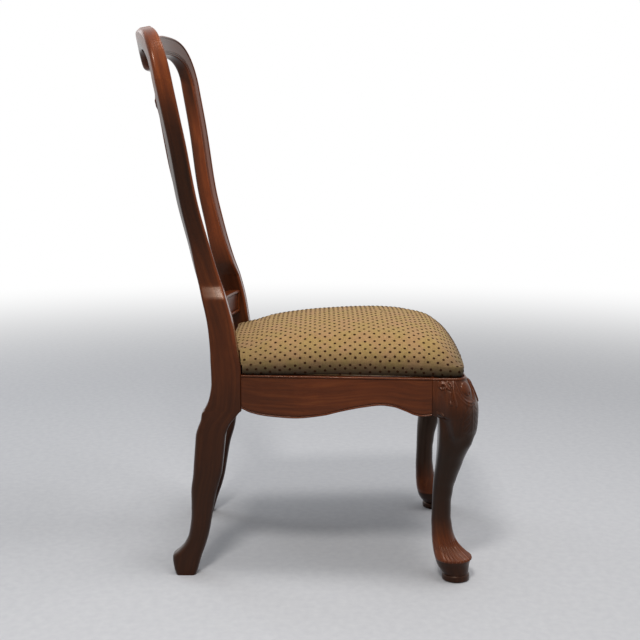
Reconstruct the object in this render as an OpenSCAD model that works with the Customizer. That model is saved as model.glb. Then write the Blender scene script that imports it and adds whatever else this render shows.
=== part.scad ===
// Dining side chair: two curved rear posts and a hooped crest rail hold a vase-shaped splat,
// four rails and two cabriole front legs carry an upholstered seat.
// The chair faces -Y, +Z is up, and the origin is on the floor under the middle of its outline.

/* [Overall] */
// Height from the floor to the top of the crest rail's middle
chair_h = 1072; // [1030:1:1110]
// Height of the top of the seat rails
rail_top = 402; // [385:1:425]
// Distance between the outer faces of the two rear posts at the seat
post_span = 414; // [396:1:440]
// Distance between the centres of the two front feet
foot_span = 450; // [430:1:480]
// Depth from the front face of the rear posts forward to the centre of the front feet
seat_reach = 419.5; // [400:0.5:440]
// Place of the rear posts' front face behind the origin
post_y = 119.5; // [106:0.5:131]

/* [Rear posts] */
// Width of a post across the chair at the seat
post_w = 38; // [34:0.5:42]
// Width of a post across the chair at its upper end
stile_w = 30; // [26:0.5:33]
// Depth of a post at its upper end, square to its face
stile_d = 32; // [28:0.5:36]
// Half the width of the back where it is widest, at the outer front corner of a post
back_half = 250; // [235:1:262]
// Half the width of the back at its waist, at the outer front corner of a post
waist_half = 192; // [184:1:200]
// Height of the hip above the seat rails, where a post leaves the upright
hip_rise = 146; // [130:1:160]
// How far the back leans rearward between the hip and the crest joint
back_lean = 89; // [70:1:110]
// How far the middle of the back bows rearward behind the posts
back_bow = 50; // [35:1:60]
// Radius on the long edges of the posts and the crest rail
edge_r = 6; // [3:0.5:9]

/* [Crest rail] */
// Height of the crest rail from its joint with the posts to its flat top
crest_rise = 100; // [85:1:115]
// Rise of the ornament in the middle of the crest rail above its flat top
crest_ornament = 12; // [6:0.5:18]
// Width of the crest rail's face beside the splat
crest_face = 38; // [32:1:44]
// How far the crest rail's lower edge drops in the middle to take the splat
crest_drop = 36; // [26:1:48]
// Thickness of the crest rail in the middle
crest_t = 28; // [24:0.5:34]

/* [Back splat] */
// Thickness of the splat
splat_t = 10; // [8:0.5:12]
// Half width of the splat at its widest
splat_half = 84; // [70:1:100]
// Half width of the splat's neck
splat_neck = 34; // [28:1:44]
// Half width of the small ears near the splat's upper end
splat_ear = 66; // [56:1:76]
// Length of the tenon at each end of the splat
splat_tenon = 12; // [8:0.5:16]

/* [Lower back rail] */
// Height of the lower back rail
cross_h = 44; // [36:1:52]
// Height of its lower edge above the seat rails
cross_lift = 68; // [60:1:80]
// Thickness of the lower back rail
cross_t = 24; // [20:0.5:27]
// How far its face stands behind the front face of the posts
cross_set = 14; // [10:0.5:18]
// How far its middle bows rearward
cross_bow = 26; // [18:1:34]

/* [Seat rails] */
// Thickness of the side, front and rear seat rails
rail_t = 22; // [19:0.5:25]
// Height of the rear seat rail
rear_rail_h = 69; // [55:1:75]
// How far the rear seat rail stands behind the front face of the posts
rear_rail_set = 26; // [22:0.5:30]
// Distance from a front foot's centre out to the outer face of the rails
rail_out = 11; // [8:0.5:14]
// Height of the small bead along the edges of the rails
bead_h = 5; // [3:0.5:6]
// How far that bead stands out
bead_out = 1.5; // [1:0.1:2]

/* [Front legs] */
// Distance from a front foot's centre back to the faces that the rails butt against
leg_in = 55; // [50:0.5:60]
// Height of the square block at the top of a front leg
leg_block_h = 69; // [60:1:75]
// How far the knee stands out from the foot's centre
knee_out = 36; // [30:0.5:40]
// Radius of the round pad under a front foot
pad_r = 27; // [24:0.5:30]
// Height of that pad
pad_h = 14; // [10:0.5:18]

/* [Seat] */
// Height of the middle of the seat above the seat rails
seat_crown = 81; // [70:1:95]
// Rise of the seat's top from its shoulders to its middle
seat_rise = 8; // [4:0.5:14]
// Height of the seat's widest line above the seat rails, at the corners
seat_girth = 22; // [18:1:30]
// How much higher that line runs in the middle of the sides
seat_side_fill = 10; // [0:1:14]
// How far the middle of the seat's front bows forward
seat_bow = 3; // [0:0.5:10]
// How far the seat's edge stands in from the outer face of the rails
seat_inset = 7; // [4:0.5:10]
// How far the seat's sides pull in between their corners
seat_draw = 4; // [2:0.5:6]
// Thickness of the plywood seat board
board_t = 12; // [9:0.5:15]
// Thickness of the fabric cover
cover_t = 1.2; // [0.8:0.1:1.6]
// Width of the cover that is turned under the board
hem_w = 22; // [16:1:28]
// Thickness of the dust cover under the board
dust_t = 0.6; // [0.4:0.1:0.8]

/* [Joinery] */
// Diameter of the dowels in the seat rails' joints
dowel_d = 9.5; // [8:0.5:11]
// Depth of a rail dowel in each of its two pieces
dowel_deep = 25; // [20:1:28]
// Diameter of the dowels in the crest rail's and the lower back rail's joints
thin_dowel_d = 8; // [6:0.5:9]
// Depth of a thin dowel in each of its two pieces
thin_dowel_deep = 16; // [12:1:19]
// Distance between the two dowels of a joint in the seat rails
dowel_pitch = 27; // [22:1:32]
// Side of the corner blocks along the rails
block_side = 50; // [42:1:58]
// Height of the corner blocks
block_h = 46; // [38:1:52]
// Diameter of the screws in the corner blocks
screw_d = 4.5; // [3.5:0.5:5.5]
// Length of the screws that hold the corner blocks to the rails
block_screw_l = 30; // [27:1:33]
// Diameter of the screw heads
screw_head_d = 8.5; // [8:0.5:10]
// Height of the screw heads
screw_head_h = 2.6; // [2:0.2:3.4]

/* [Hidden] */
$fn = 48;

glue_gap = 0.1;      // room round a dowel, tenon or screw in its hole
end_gap = 1;         // room past the end of a dowel in its hole
soft_gap = 0.3;      // room between soft pieces and their neighbours
corner_steps = 3;    // flats on each rounded corner of a lofted section
wood = [0.36, 0.17, 0.09];
pale_wood = [0.78, 0.62, 0.42];
steel = [0.6, 0.6, 0.62];
cloth = [0.65, 0.55, 0.37];

RIGHT = -1;          // the sitter's right is -X
LEFT = 1;
SIDES = [RIGHT, LEFT];

// Heights and places that several pieces share
post_out = post_span / 2;
post_in = post_out - post_w;
hip_z = rail_top + hip_rise;
crest_z = chair_h - crest_ornament - crest_rise;
foot_x = foot_span / 2;
foot_y = post_y - seat_reach;
leg_back = foot_y + leg_in;
leg_inner = foot_x - leg_in;
rail_front_out = foot_x + rail_out;
rail_low = rail_top - leg_block_h;
cross_z = rail_top + cross_lift;
cross_top = cross_z + cross_h;

// Smooth curve through [x, y] points that never swings past them
function rise(p, i) = (p[i + 1][1] - p[i][1]) / (p[i + 1][0] - p[i][0]);
function tangent(p, i) =
    i == 0 ? rise(p, 0)
    : i == len(p) - 1 ? rise(p, i - 1)
    : rise(p, i - 1) * rise(p, i) <= 0 ? 0
    : 2 * rise(p, i - 1) * rise(p, i) / (rise(p, i - 1) + rise(p, i));
function span_of(p, x, i = 0) = i >= len(p) - 2 || x < p[i + 1][0] ? i : span_of(p, x, i + 1);
function curve(p, x) =
    let (i = span_of(p, x), h = p[i + 1][0] - p[i][0], t = (x - p[i][0]) / h)
    p[i][1] * (1 + 2 * t) * pow(1 - t, 2) + tangent(p, i) * h * t * pow(1 - t, 2)
    + p[i + 1][1] * t * t * (3 - 2 * t) + tangent(p, i + 1) * h * t * t * (t - 1);
function steps(from, to, n) = [for (i = [0:n]) from + (to - from) * i / n];

// Ring of points round four corners, each corner rounded by r
function unit(v) = v / norm(v);
function round_corner(a, p, b, r) =
    [for (i = [0:corner_steps])
        let (t = 90 * i / corner_steps)
        p + unit(a - p) * r * (1 - sin(t)) + unit(b - p) * r * (1 - cos(t))];
function round_ring(c, r) =
    [for (i = [0:3]) each round_corner(c[(i + 3) % 4], c[i], c[(i + 1) % 4], r[i])];

// Solid skinned over a list of equal rings, closed by its first and last ring
module loft(rings) {
    m = len(rings[0]);
    n = len(rings);
    sides = [for (i = [0:n - 2], j = [0:m - 1])
        let (a = i * m + j, b = i * m + (j + 1) % m)
        each [[a, b + m, b], [a, a + m, b + m]]];
    caps = [[for (j = [0:m - 1]) j], [for (j = [m - 1:-1:0]) (n - 1) * m + j]];
    polyhedron([for (ring = rings) each ring], concat(sides, caps));
}

// Rod or hole of length l that starts at p and runs along X, Y or Z
module rod(p, dir, l, d) {
    turn = [-90 * dir[1] + (dir[2] < 0 ? 180 : 0), 90 * dir[0], 0];
    translate(p) rotate(turn) cylinder(h = l, d = d);
}

// A piece drawn on the left, or its mirror image on the right
module on_side(side) {
    if (side == RIGHT) mirror([1, 0, 0]) children();
    else children();
}

// Rear posts: front face behind post_y, depth, width and outer face, each against height
hip_set = 26.5;      // how far the front face stands back at the hip
lean_line = [[0, 0], [0.15, 0.21], [0.27, 0.36], [0.46, 0.57], [0.73, 0.77], [1, 1], [1.3, 1.25]];
waist_line = [[0.15, 0], [0.22, 0.03], [0.29, 0.1], [0.5, 0.35], [0.71, 0.65], [0.82, 0.83], [1, 1]];
stile_depths = [[0.05, 13], [0.15, 9], [0.27, 4.5], [0.46, 2], [0.73, 0.5], [1, 0]];
stile_cants = [[0, 0], [0.1, 0.3], [0.3, 0.7], [0.5, 0.92], [0.65, 1], [1, 1]];
function stile_z(share) = hip_z + share * (crest_z - hip_z);

post_front_line = [[0, 93.5], [12, 89.5], [36, 82.5], [61, 73.5], [86, 66.5], [110, 62],
    [rail_low - 172, 53], [rail_low - 123, 40], [rail_low - 71, 34], [rail_low - 49, 31.5],
    [rail_low - 31, 24.5], [rail_low - 12, 10.5], [rail_low - 4, 4.5], [rail_low, 0],
    [rail_top + 8, 0], [rail_top + 48, 6.5], [rail_top + 98, 14.5],
    for (s = lean_line) [stile_z(s[0]), hip_set + back_lean * s[1]]];
post_depth_line = [[0, 39], [12, 47], [30, 55], [38, 57], [50, 48.5], [63, 42.5], [80, 39.5],
    [104, 40], [rail_low - 188, 45], [rail_low - 148, 53], [rail_low - 107, 57],
    [rail_low - 47, 58], [rail_low - 27, 60], [rail_low, 72], [rail_low + 12, 66.5],
    [rail_low + 32, 60.5], [rail_low + 55, 57.5], [rail_top + 12, 58], [rail_top + 50, 52.5],
    [rail_top + 90, 49.5], for (s = stile_depths) [stile_z(s[0]), stile_d + s[1]]];
post_width_line = [[0, post_w - 2], [34, post_w], [80, post_w - 5], [rail_low - 120, post_w - 2],
    [rail_low - 40, post_w], [hip_z, post_w], [stile_z(0.1), stile_w + 2], [crest_z, stile_w]];
post_outer_line = [[0, post_out], [hip_z, post_out], [stile_z(0.03), waist_half + 9],
    [stile_z(0.07), waist_half + 4],
    for (s = waist_line) [stile_z(s[0]), waist_half + s[1] * (back_half - waist_half)]];
post_round_line = [[0, 9], [34, 12], [90, 15], [rail_low - 100, 12], [rail_low - 20, 6],
    [rail_low, 4], [hip_z, 4], [stile_z(0.1), edge_r], [crest_z, edge_r]];
post_levels = [0, 6, 12, 22, 30, 35, 39, 44, 50, 58, 68, 80, 95, 115, 140, 165, 190,
    for (d = [110, 80, 60, 48, 36, 26, 18, 11, 5, 0]) rail_low - d,
    for (d = [14, 34, 60, 82, 100, 125]) rail_low + d,
    for (s = [-0.06, -0.02, 0, 0.02, 0.045, 0.08, 0.12, 0.18, 0.25, 0.33, 0.42, 0.5, 0.58, 0.66,
        0.74, 0.82, 0.91, 1]) stile_z(s)];

function back_y(z) = post_y + curve(post_front_line, z);
function cant(z) =
    let (w = curve(post_outer_line, z), a = curve(post_width_line, z))
    z < hip_z ? 0
    : atan(curve(stile_cants, (z - hip_z) / (crest_z - hip_z)) * back_bow * (2 * w - a) / (w * w));

// Corners of a post's section: outer front, outer rear, inner rear, inner front
function post_corners(z) =
    let (c = cant(z), o = [curve(post_outer_line, z), back_y(z), z],
        across = [-cos(c), sin(c), 0] * curve(post_width_line, z),
        deep = [sin(c), cos(c), 0] * curve(post_depth_line, z))
    [o, o + deep, o + deep + across, o + across];
function post_ring(z) = let (r = curve(post_round_line, z)) round_ring(post_corners(z), [r, r, r, r]);

// Places of the dowels
function crest_dowels() =
    let (c = post_corners(crest_z), mid = (c[0] + c[2]) / 2, along = unit(c[3] - c[0]))
    [mid - along * stile_w / 4, mid + along * stile_w / 4];
low_dowel_drop = 48; // from the top of the rails down to the lower dowels
rail_dowel_z = [rail_top - low_dowel_drop + dowel_pitch, rail_top - low_dowel_drop];
side_dowel_rear_x = post_out - rail_t / 2;
side_dowel_front_x = rail_front_out - rail_t / 2;
rear_dowel_y = post_y + rear_rail_set + rail_t / 2;
cross_y = back_y(cross_z + cross_h / 2) + cross_set;
cross_dowel_y = cross_y + cross_t / 2 + 1;
cross_dowel_z = [cross_z + cross_h * 0.3, cross_z + cross_h * 0.7];
dowel_hole_d = dowel_d + 2 * glue_gap;
dowel_hole_l = dowel_deep + end_gap + 1;
thin_hole_d = thin_dowel_d + 2 * glue_gap;
thin_hole_l = thin_dowel_deep + end_gap + 1;

module rear_post(side) {
    color(wood) on_side(side) difference() {
        loft([for (z = post_levels) post_ring(z)]);
        for (z = rail_dowel_z) {
            rod([side_dowel_rear_x, post_y - 1, z], [0, 1, 0], dowel_hole_l, dowel_hole_d);
            rod([post_in - 1, rear_dowel_y, z], [1, 0, 0], dowel_hole_l, dowel_hole_d);
        }
        for (z = cross_dowel_z)
            rod([post_in - 1, cross_dowel_y, z], [1, 0, 0], thin_hole_l, thin_hole_d);
        for (p = crest_dowels())
            rod(p + [0, 0, 1], [0, 0, -1], thin_hole_l, thin_hole_d);
    }
}

// Face of the back: it leans with the posts and bows rearward between them
function back_face(x, z) = back_y(z) + back_bow * (1 - pow(x / back_half, 2));

// Crest rail: a hoop with squared shoulders, a shallow yoke and a drop over the splat
yoke_dip = 5;
yoke_x = 62;
yoke_half = 26;
ornament_half = 24;
drop_half = 60;
splat_top = crest_z + crest_rise - crest_face - crest_drop;
crest_in_half = back_half - stile_w * cos(cant(crest_z));
function shoulder(s) = sqrt(1 - pow(s, 8));
function crest_outer_z(x) =
    crest_z + crest_rise * shoulder(x / back_half) + crest_ornament * exp(-pow(x / ornament_half, 2))
    - yoke_dip * exp(-pow((abs(x) - yoke_x) / yoke_half, 2));
function crest_inner_z(x) =
    crest_z + (crest_rise - crest_face) * shoulder(x / crest_in_half)
    - crest_drop / (1 + pow(x / drop_half, 6));
function crest_ring(s) =
    let (up = shoulder(s), o = [back_half * s, crest_outer_z(back_half * s)],
        i = [crest_in_half * s, crest_inner_z(crest_in_half * s)],
        slope_x = -back_bow * (o[0] + i[0]) / pow(back_half, 2),
        slope_z = (back_y(crest_z + crest_rise) - back_y(crest_z)) / crest_rise,
        deep = unit([-slope_x, 1, -slope_z * up]) * (stile_d + (crest_t - stile_d) * up),
        front_o = [o[0], back_face(o[0], o[1]), o[1]],
        front_i = [i[0], back_face(i[0], i[1]), i[1]])
    round_ring([front_o, front_o + deep, front_i + deep, front_i],
        [edge_r, edge_r + 3, edge_r, edge_r]);
crest_shares = [for (a = [8:8:56]) pow(cos(a), 0.25), for (s = [0.82:-0.06:0.04]) s];

module crest_rail() {
    end_ring = post_ring(crest_z);
    left_rings = [for (s = crest_shares) crest_ring(s)];
    right_rings = [for (i = [len(crest_shares) - 1:-1:0]) crest_ring(-crest_shares[i])];
    color(wood) difference() {
        loft(concat([end_ring], left_rings, [crest_ring(0)], right_rings,
            [[for (p = end_ring) [-p[0], p[1], p[2]]]]));
        for (side = SIDES, p = crest_dowels())
            rod([side * p[0], p[1], p[2] - 1], [0, 0, 1], thin_hole_l, thin_hole_d);
        splat_piece([splat_top - slot_past, splat_top, splat_top + splat_tenon + end_gap], glue_gap);
    }
}

// Splat: flat across, curved from the side, its half width against the share of its height
splat_lines = [[-0.05, 58], [0, 58], [0.035, 50], [0.1, 38], [0.185, splat_neck],
    [0.29, splat_neck + 8], [0.4, splat_half - 26], [0.53, splat_half - 6], [0.615, splat_half],
    [0.7, splat_half - 7], [0.765, splat_half - 24], [0.81, splat_ear - 17],
    [0.83, splat_ear - 16], [0.842, splat_ear - 3], [0.868, splat_ear], [0.88, splat_ear - 14],
    [0.905, 42], [0.96, 38], [1, 38], [1.05, 38]];
splat_bows = [[-0.05, 0.82], [0, 0.82], [0.25, 0.82], [0.5, 0.88], [0.7, 0.96], [0.85, 1.03],
    [1.05, 1.03]];
splat_set = 3;       // how far the splat stands behind the face of the back
slot_past = 14;      // how far its slots run out past the rails' edges
function splat_share(z) = (z - cross_top) / (splat_top - cross_top);
function splat_y(z) = back_y(z) + splat_set + back_bow * curve(splat_bows, splat_share(z));

// Slice of the splat between the given levels, grown all round by a gap
module splat_piece(levels, gap) {
    loft([for (z = levels)
        let (w = curve(splat_lines, splat_share(z)) + gap, f = splat_y(z) - gap, d = splat_t + 2 * gap)
        round_ring([[w, f, z], [w, f + d, z], [-w, f + d, z], [-w, f, z]], [1.5, 1.5, 1.5, 1.5])]);
}

module back_splat() {
    levels = [for (v = steps(0, 0.8, 26)) cross_top + v * (splat_top - cross_top),
        for (v = [0.82, 0.832, 0.838, 0.845, 0.857, 0.868, 0.874, 0.88, 0.89, 0.905, 0.93, 0.96, 1])
            cross_top + v * (splat_top - cross_top)];
    color(wood) splat_piece(concat([cross_top - splat_tenon], levels, [splat_top + splat_tenon]), 0);
}

// Lower back rail between the posts, curved in plan like the rest of the back
cross_half = post_in - glue_gap;
cross_r = (pow(post_in, 2) + pow(cross_bow, 2)) / (2 * cross_bow);
cross_bead = 7;
module cross_band(r, t, z, h) {
    translate([0, cross_y + cross_bow - cross_r, z]) difference() {
        cylinder(h = h, r = r + t, $fn = 240);
        translate([0, 0, -1]) cylinder(h = h + 2, r = r, $fn = 240);
    }
}

module lower_back_rail() {
    color(wood) difference() {
        intersection() {
            union() {
                cross_band(cross_r, cross_t, cross_z, cross_h);
                for (z = [cross_z, cross_top - cross_bead])
                    cross_band(cross_r - bead_out, cross_t, z, cross_bead);
            }
            translate([-cross_half, cross_y - cross_r, cross_z - 1])
                cube([2 * cross_half, 2 * cross_r, cross_h + 2]);
        }
        splat_piece([cross_top - splat_tenon - end_gap, cross_top, cross_top + slot_past], glue_gap);
        for (side = SIDES, z = cross_dowel_z)
            rod([side * (post_in + 1), cross_dowel_y, z], [-side, 0, 0], thin_hole_l, thin_hole_d);
    }
}

// Rear seat rail
module rear_rail() {
    half = post_in - glue_gap;
    color(wood) difference() {
        translate([-half, post_y + rear_rail_set, rail_top - rear_rail_h])
            cube([2 * half, rail_t, rear_rail_h]);
        for (side = SIDES, z = rail_dowel_z)
            rod([side * (post_in + 1), rear_dowel_y, z], [-side, 0, 0], dowel_hole_l, dowel_hole_d);
        for (side = SIDES) on_side(side) rail_screw_hole("rear", 1);
    }
}

// Side rails: lower edge as a share of the length from the rear, and its drop below the top
side_edge = [[0, 64], [0.05, 72], [0.13, 78], [0.28, 81.5], [0.42, 76], [0.53, 66], [0.64, 57.5],
    [0.74, 53], [0.8, 55.5], [0.86, 63], [0.92, 71.5], [0.95, 73], [1, 71]];
side_len = post_y - leg_back - 2 * glue_gap;
side_rear_y = post_y - glue_gap;
slab_over = 20;      // room above and below the rails that the cutting slabs reach past
slab_h = 100 + 2 * slab_over;
function side_outer(y) =
    post_out + (rail_front_out - post_out) * (post_y - y) / (post_y - leg_back);
function side_inner(y) = side_outer(y) - rail_t;

// Upright plate between the two given lines of the rail's side view
module side_plate(upper, lower) {
    rotate([90, 0, 90]) linear_extrude(2 * rail_front_out) polygon(concat(
        [for (f = steps(0, 1, 48)) [side_rear_y - f * side_len, rail_top - upper(f)]],
        [for (f = steps(1, 0, 48)) [side_rear_y - f * side_len, rail_top - lower(f)]]));
}
module side_slab(out) {
    rear = side_rear_y + 1;
    front = side_rear_y - side_len - 1;
    translate([0, 0, rail_top + slab_over - slab_h]) linear_extrude(slab_h) polygon([
        [side_inner(rear), rear], [side_outer(rear) + out, rear],
        [side_outer(front) + out, front], [side_inner(front), front]]);
}
module side_rail(side) {
    lower = function(f) curve(side_edge, f);
    color(wood) on_side(side) difference() {
        union() {
            intersection() {
                side_plate(function(f) 0, lower);
                side_slab(0);
            }
            intersection() {
                side_plate(function(f) lower(f) - bead_h, lower);
                side_slab(bead_out);
            }
            intersection() {
                side_plate(function(f) 0, function(f) bead_h);
                side_slab(bead_out);
            }
        }
        for (z = rail_dowel_z) {
            rod([side_dowel_rear_x, post_y + 1, z], [0, -1, 0], dowel_hole_l, dowel_hole_d);
            rod([side_dowel_front_x, leg_back - 1, z], [0, 1, 0], dowel_hole_l, dowel_hole_d);
        }
        for (end = ["front", "rear"]) rail_screw_hole(end, 0);
    }
}

// Front rail, with the side rails' line repeated from both ends
front_edge = [[0, 71], [0.03, 73], [0.07, 71], [0.14, 59], [0.22, 53], [0.3, 55], [0.4, 66], [0.5, 74]];
front_half = leg_inner - glue_gap;
front_y = foot_y - rail_out;
front_inner_y = front_y + rail_t;
front_dowel_y = front_y + rail_t / 2;
function front_lower(f) = curve(front_edge, f < 0.5 ? f : 1 - f);

module front_plate(upper, lower, out) {
    translate([0, front_inner_y, 0]) rotate([90, 0, 0]) linear_extrude(rail_t + out) polygon(concat(
        [for (f = steps(0, 1, 64)) [front_half * (2 * f - 1), rail_top - upper(f)]],
        [for (f = steps(1, 0, 64)) [front_half * (2 * f - 1), rail_top - lower(f)]]));
}
module front_rail() {
    lower = function(f) front_lower(f);
    color(wood) difference() {
        union() {
            front_plate(function(f) 0, lower, 0);
            front_plate(function(f) lower(f) - bead_h, lower, bead_out);
            front_plate(function(f) 0, function(f) bead_h, bead_out);
        }
        for (side = SIDES, z = rail_dowel_z)
            rod([side * (leg_inner + 1), front_dowel_y, z], [-side, 0, 0], dowel_hole_l, dowel_hole_d);
        for (side = SIDES) on_side(side) rail_screw_hole("front", 1);
    }
}

// Front legs: distances from the foot's centre back, out at the rails, and out at the knee
leg_in_line = [[0, 28], [pad_h - 2, 28], [20, 31], [28, 35], [41, 40], [55, 43], [67, 45], [80, 47],
    [94, 48], [106, 49], [141, 48], [181, 47], [201, 46], [230, 43], [265, 41],
    [rail_low - 33, 40], [rail_low - 8, 41], [rail_low + 1, leg_in], [rail_top, leg_in]];
foot_out_line = [[0, 22], [pad_h - 2, 22], [20, 23], [33, 25], [44, 29], [49, 30], [55, 23],
    [65, 13], [74, 5], [84, -1], [96, -6], [106, -9], [120, -11], [151, -11], [165, -9], [181, -7],
    [195, -3], [209, 1]];
leg_side_line = concat(foot_out_line, [[230, 8], [rail_low - 68, 17], [rail_low - 30, 17],
    [rail_low, rail_out], [rail_top, rail_out]]);
leg_out_line = concat(foot_out_line, [[225, 6], [240, 10], [rail_low - 75, 17],
    [rail_low - 58, knee_out - 11], [rail_low - 31, knee_out - 3], [rail_low - 12, knee_out - 0.5],
    [rail_low + 3, knee_out], [rail_low + 16, knee_out - 1.5], [rail_top - 39, knee_out - 3],
    [rail_top - 25, knee_out - 7], [rail_top - 13, knee_out - 12], [rail_top, knee_out - 19]]);
// Roundness of its inner, side and knee corners as a share of its breadth
leg_inner_round = [[0, 0.5], [20, 0.5], [49, 0.35], [90, 0.48], [200, 0.46], [265, 0.3],
    [rail_low - 20, 0.2], [rail_low, 0.03], [rail_top, 0.03]];
leg_side_round = [[0, 0.5], [20, 0.5], [49, 0.38], [90, 0.48], [200, 0.46], [265, 0.34],
    [rail_low - 20, 0.22], [rail_low, 0.05], [rail_top, 0.05]];
leg_knee_round = [[0, 0.5], [20, 0.5], [49, 0.48], [90, 0.48], [200, 0.48], [265, 0.42],
    [rail_low, 0.33], [rail_top, 0.3]];
leg_levels = [pad_h - 2, 17, 22, 28, 34, 40, 45, 49, 52, 56, 61, 67, 74, 82, 92, 105, 120, 140, 160,
    178, 194, 208, 222, 236, 250,
    for (d = [72, 62, 52, 40, 28, 16, 7, 3, -1, -8, -18, -30, -42, -54, -62]) rail_low - d, rail_top];
pad_edge = 3;

function leg_ring(z) =
    let (i = curve(leg_in_line, z), s = curve(leg_side_line, z), o = curve(leg_out_line, z),
        size = i + s, at = function(u, v) [foot_x + u, foot_y - v, z])
    round_ring([at(-i, -i), at(-i, s), at(o, o), at(s, -i)],
        size * [curve(leg_inner_round, z), curve(leg_side_round, z), curve(leg_knee_round, z),
            curve(leg_side_round, z)]);

module front_leg(side) {
    color(wood) on_side(side) difference() {
        union() {
            loft([for (z = leg_levels) leg_ring(z)]);
            translate([foot_x, foot_y, 0]) rotate_extrude()
                polygon([[0, 0], [pad_r - pad_edge, 0], [pad_r, pad_edge], [pad_r, pad_h - pad_edge],
                    [pad_r - pad_edge, pad_h], [0, pad_h]]);
        }
        for (z = rail_dowel_z) {
            rod([side_dowel_front_x, leg_back + 1, z], [0, -1, 0], dowel_hole_l, dowel_hole_d);
            rod([leg_inner - 1, front_dowel_y, z], [1, 0, 0], dowel_hole_l, dowel_hole_d);
        }
    }
}

// Corner blocks, notched round the legs and the posts, each glued and screwed to two rails
block_drop = 4;      // how far the blocks lie below the top of the rails
block_top = rail_top - block_drop;
block_low = block_top - block_h;
screw_step = 9;      // height between the two rail screws and the block's middle
screw_skin = 5;      // wood left between a rail screw's tip and the rail's outer face
screw_share = 0.62;  // place of a rail screw along the block's side
head_back = block_screw_l - rail_t + screw_skin;
head_room = 1;       // room round a screw head
head_way = 40;       // length of the way in for a screw head
function front_block() = [
    [side_inner(leg_back), leg_back + glue_gap], [leg_inner - glue_gap, leg_back + glue_gap],
    [leg_inner - glue_gap, front_inner_y], [leg_inner - block_side, front_inner_y],
    [side_inner(leg_back + block_side), leg_back + block_side]];
function rear_block() = [
    [side_inner(post_y), post_y - glue_gap], [post_in - glue_gap, post_y - glue_gap],
    [post_in - glue_gap, post_y + rear_rail_set], [post_in - block_side, post_y + rear_rail_set],
    [side_inner(post_y - block_side), post_y - block_side]];
// Rail screws: the head's seat and the direction, on the left side
function rail_screws(end) =
    let (z = block_low + block_h / 2, along = block_side * screw_share)
    end == "front" ? [
        [[side_inner(leg_back + along) - head_back, leg_back + along, z + screw_step], [1, 0, 0]],
        [[leg_inner - along, front_inner_y + head_back, z - screw_step], [0, -1, 0]]]
    : [
        [[side_inner(post_y - along) - head_back, post_y - along, z + screw_step], [1, 0, 0]],
        [[post_in - along, post_y + rear_rail_set - head_back, z - screw_step], [0, 1, 0]]];
front_screw_set = [14, 9];   // seat screw's place out from the leg's inner corner
rear_screw_set = [9, 2];     // seat screw's place in from the post's inner corner
function seat_screw_at(end) =
    end == "front" ? [leg_inner, leg_back] + front_screw_set : [post_in, post_y] - rear_screw_set;
seat_screw_lift = 8;         // wood under a seat screw's head
seat_screw_seat = block_low + seat_screw_lift;
screw_stop = 3;      // how far below the board's top the seat screws end

module shank_hole(p, dir, l) {
    rod(p - dir, dir, l + end_gap + 1, screw_d + 2 * glue_gap);
}
module screw_hole(p, dir, l) {
    rod(p - dir * head_way, dir, head_way, screw_head_d + 2 * head_room);
    shank_hole(p, dir, l);
}
module screw(p, dir, l) {
    rod(p - dir * screw_head_h, dir, screw_head_h, screw_head_d);
    rod(p - dir * 0.5, dir, l + 0.5, screw_d);
}
// Hole in a rail for one of a block's two rail screws
module rail_screw_hole(end, i) {
    s = rail_screws(end)[i];
    shank_hole(s[0], s[1], block_screw_l);
}
module corner_block(side, end) {
    at = seat_screw_at(end);
    color(pale_wood) on_side(side) difference() {
        translate([0, 0, block_low]) linear_extrude(block_h)
            polygon(end == "front" ? front_block() : rear_block());
        for (s = rail_screws(end)) screw_hole(s[0], s[1], block_screw_l);
        screw_hole([at[0], at[1], seat_screw_seat], [0, 0, 1], block_h);
    }
}

// Seat: one outline, shrunk towards its middle, gives the board, the foam and the cover
seat_front_out = 4;  // how much less the seat's front edge stands in than its sides
seat_corner = [rail_front_out - seat_inset, front_y + seat_inset - seat_front_out];
seat_corner_r = 16;
post_room = 3;       // room between the seat and the posts
seat_side = [post_out - post_room, post_y - post_room + 1];
seat_notch_x = post_in - post_room;
seat_notch_r = 6;
seat_on_rear = 4;    // how far the seat reaches onto the rear rail
seat_rear_y = post_y + rear_rail_set + seat_on_rear;
seat_mid_y = (seat_rear_y + seat_corner[1] - seat_bow) / 2;
function seat_half() = let (c = seat_corner, r = seat_corner_r) concat(
    [for (x = steps(0, c[0] - r, 6)) [x, c[1] - seat_bow * (1 - pow(x / (c[0] - r), 2))]],
    [for (a = [22.5:22.5:90]) [c[0] - r + r * sin(a), c[1] + r - r * cos(a)]],
    [for (t = [0.12, 0.27, 0.42, 0.57, 0.72, 0.87, 1])
        let (p = [c[0], c[1] + r] * (1 - t) + seat_side * t) [p[0] - seat_draw * sin(180 * t), p[1]]],
    [[seat_notch_x, seat_side[1]], [seat_notch_x, seat_rear_y - seat_notch_r],
        [seat_notch_x - seat_notch_r, seat_rear_y],
        [seat_notch_x / 2, seat_rear_y], [0, seat_rear_y]]);
seat_left = seat_half();
seat_line = concat(seat_left, [for (i = [len(seat_left) - 2:-1:1]) [-seat_left[i][0], seat_left[i][1]]]);
function seat_outline(share) =
    [for (p = seat_line) [p[0] * share, seat_mid_y + (p[1] - seat_mid_y) * share]];
function seat_ring(share, up) = [for (p = seat_outline(share)) [p[0], p[1], rail_top + up]];

seat_half_w = seat_corner[0];
seat_half_d = (seat_rear_y - seat_corner[1] + seat_bow) / 2;
shoulder_power = 5;  // roundness of the seat's shoulders, higher is tighter
wall_share = 0.985;
hem_share = wall_share - hem_w / seat_half_w;
board_low = 2 * soft_gap + cover_t;      // above the rails
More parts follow.
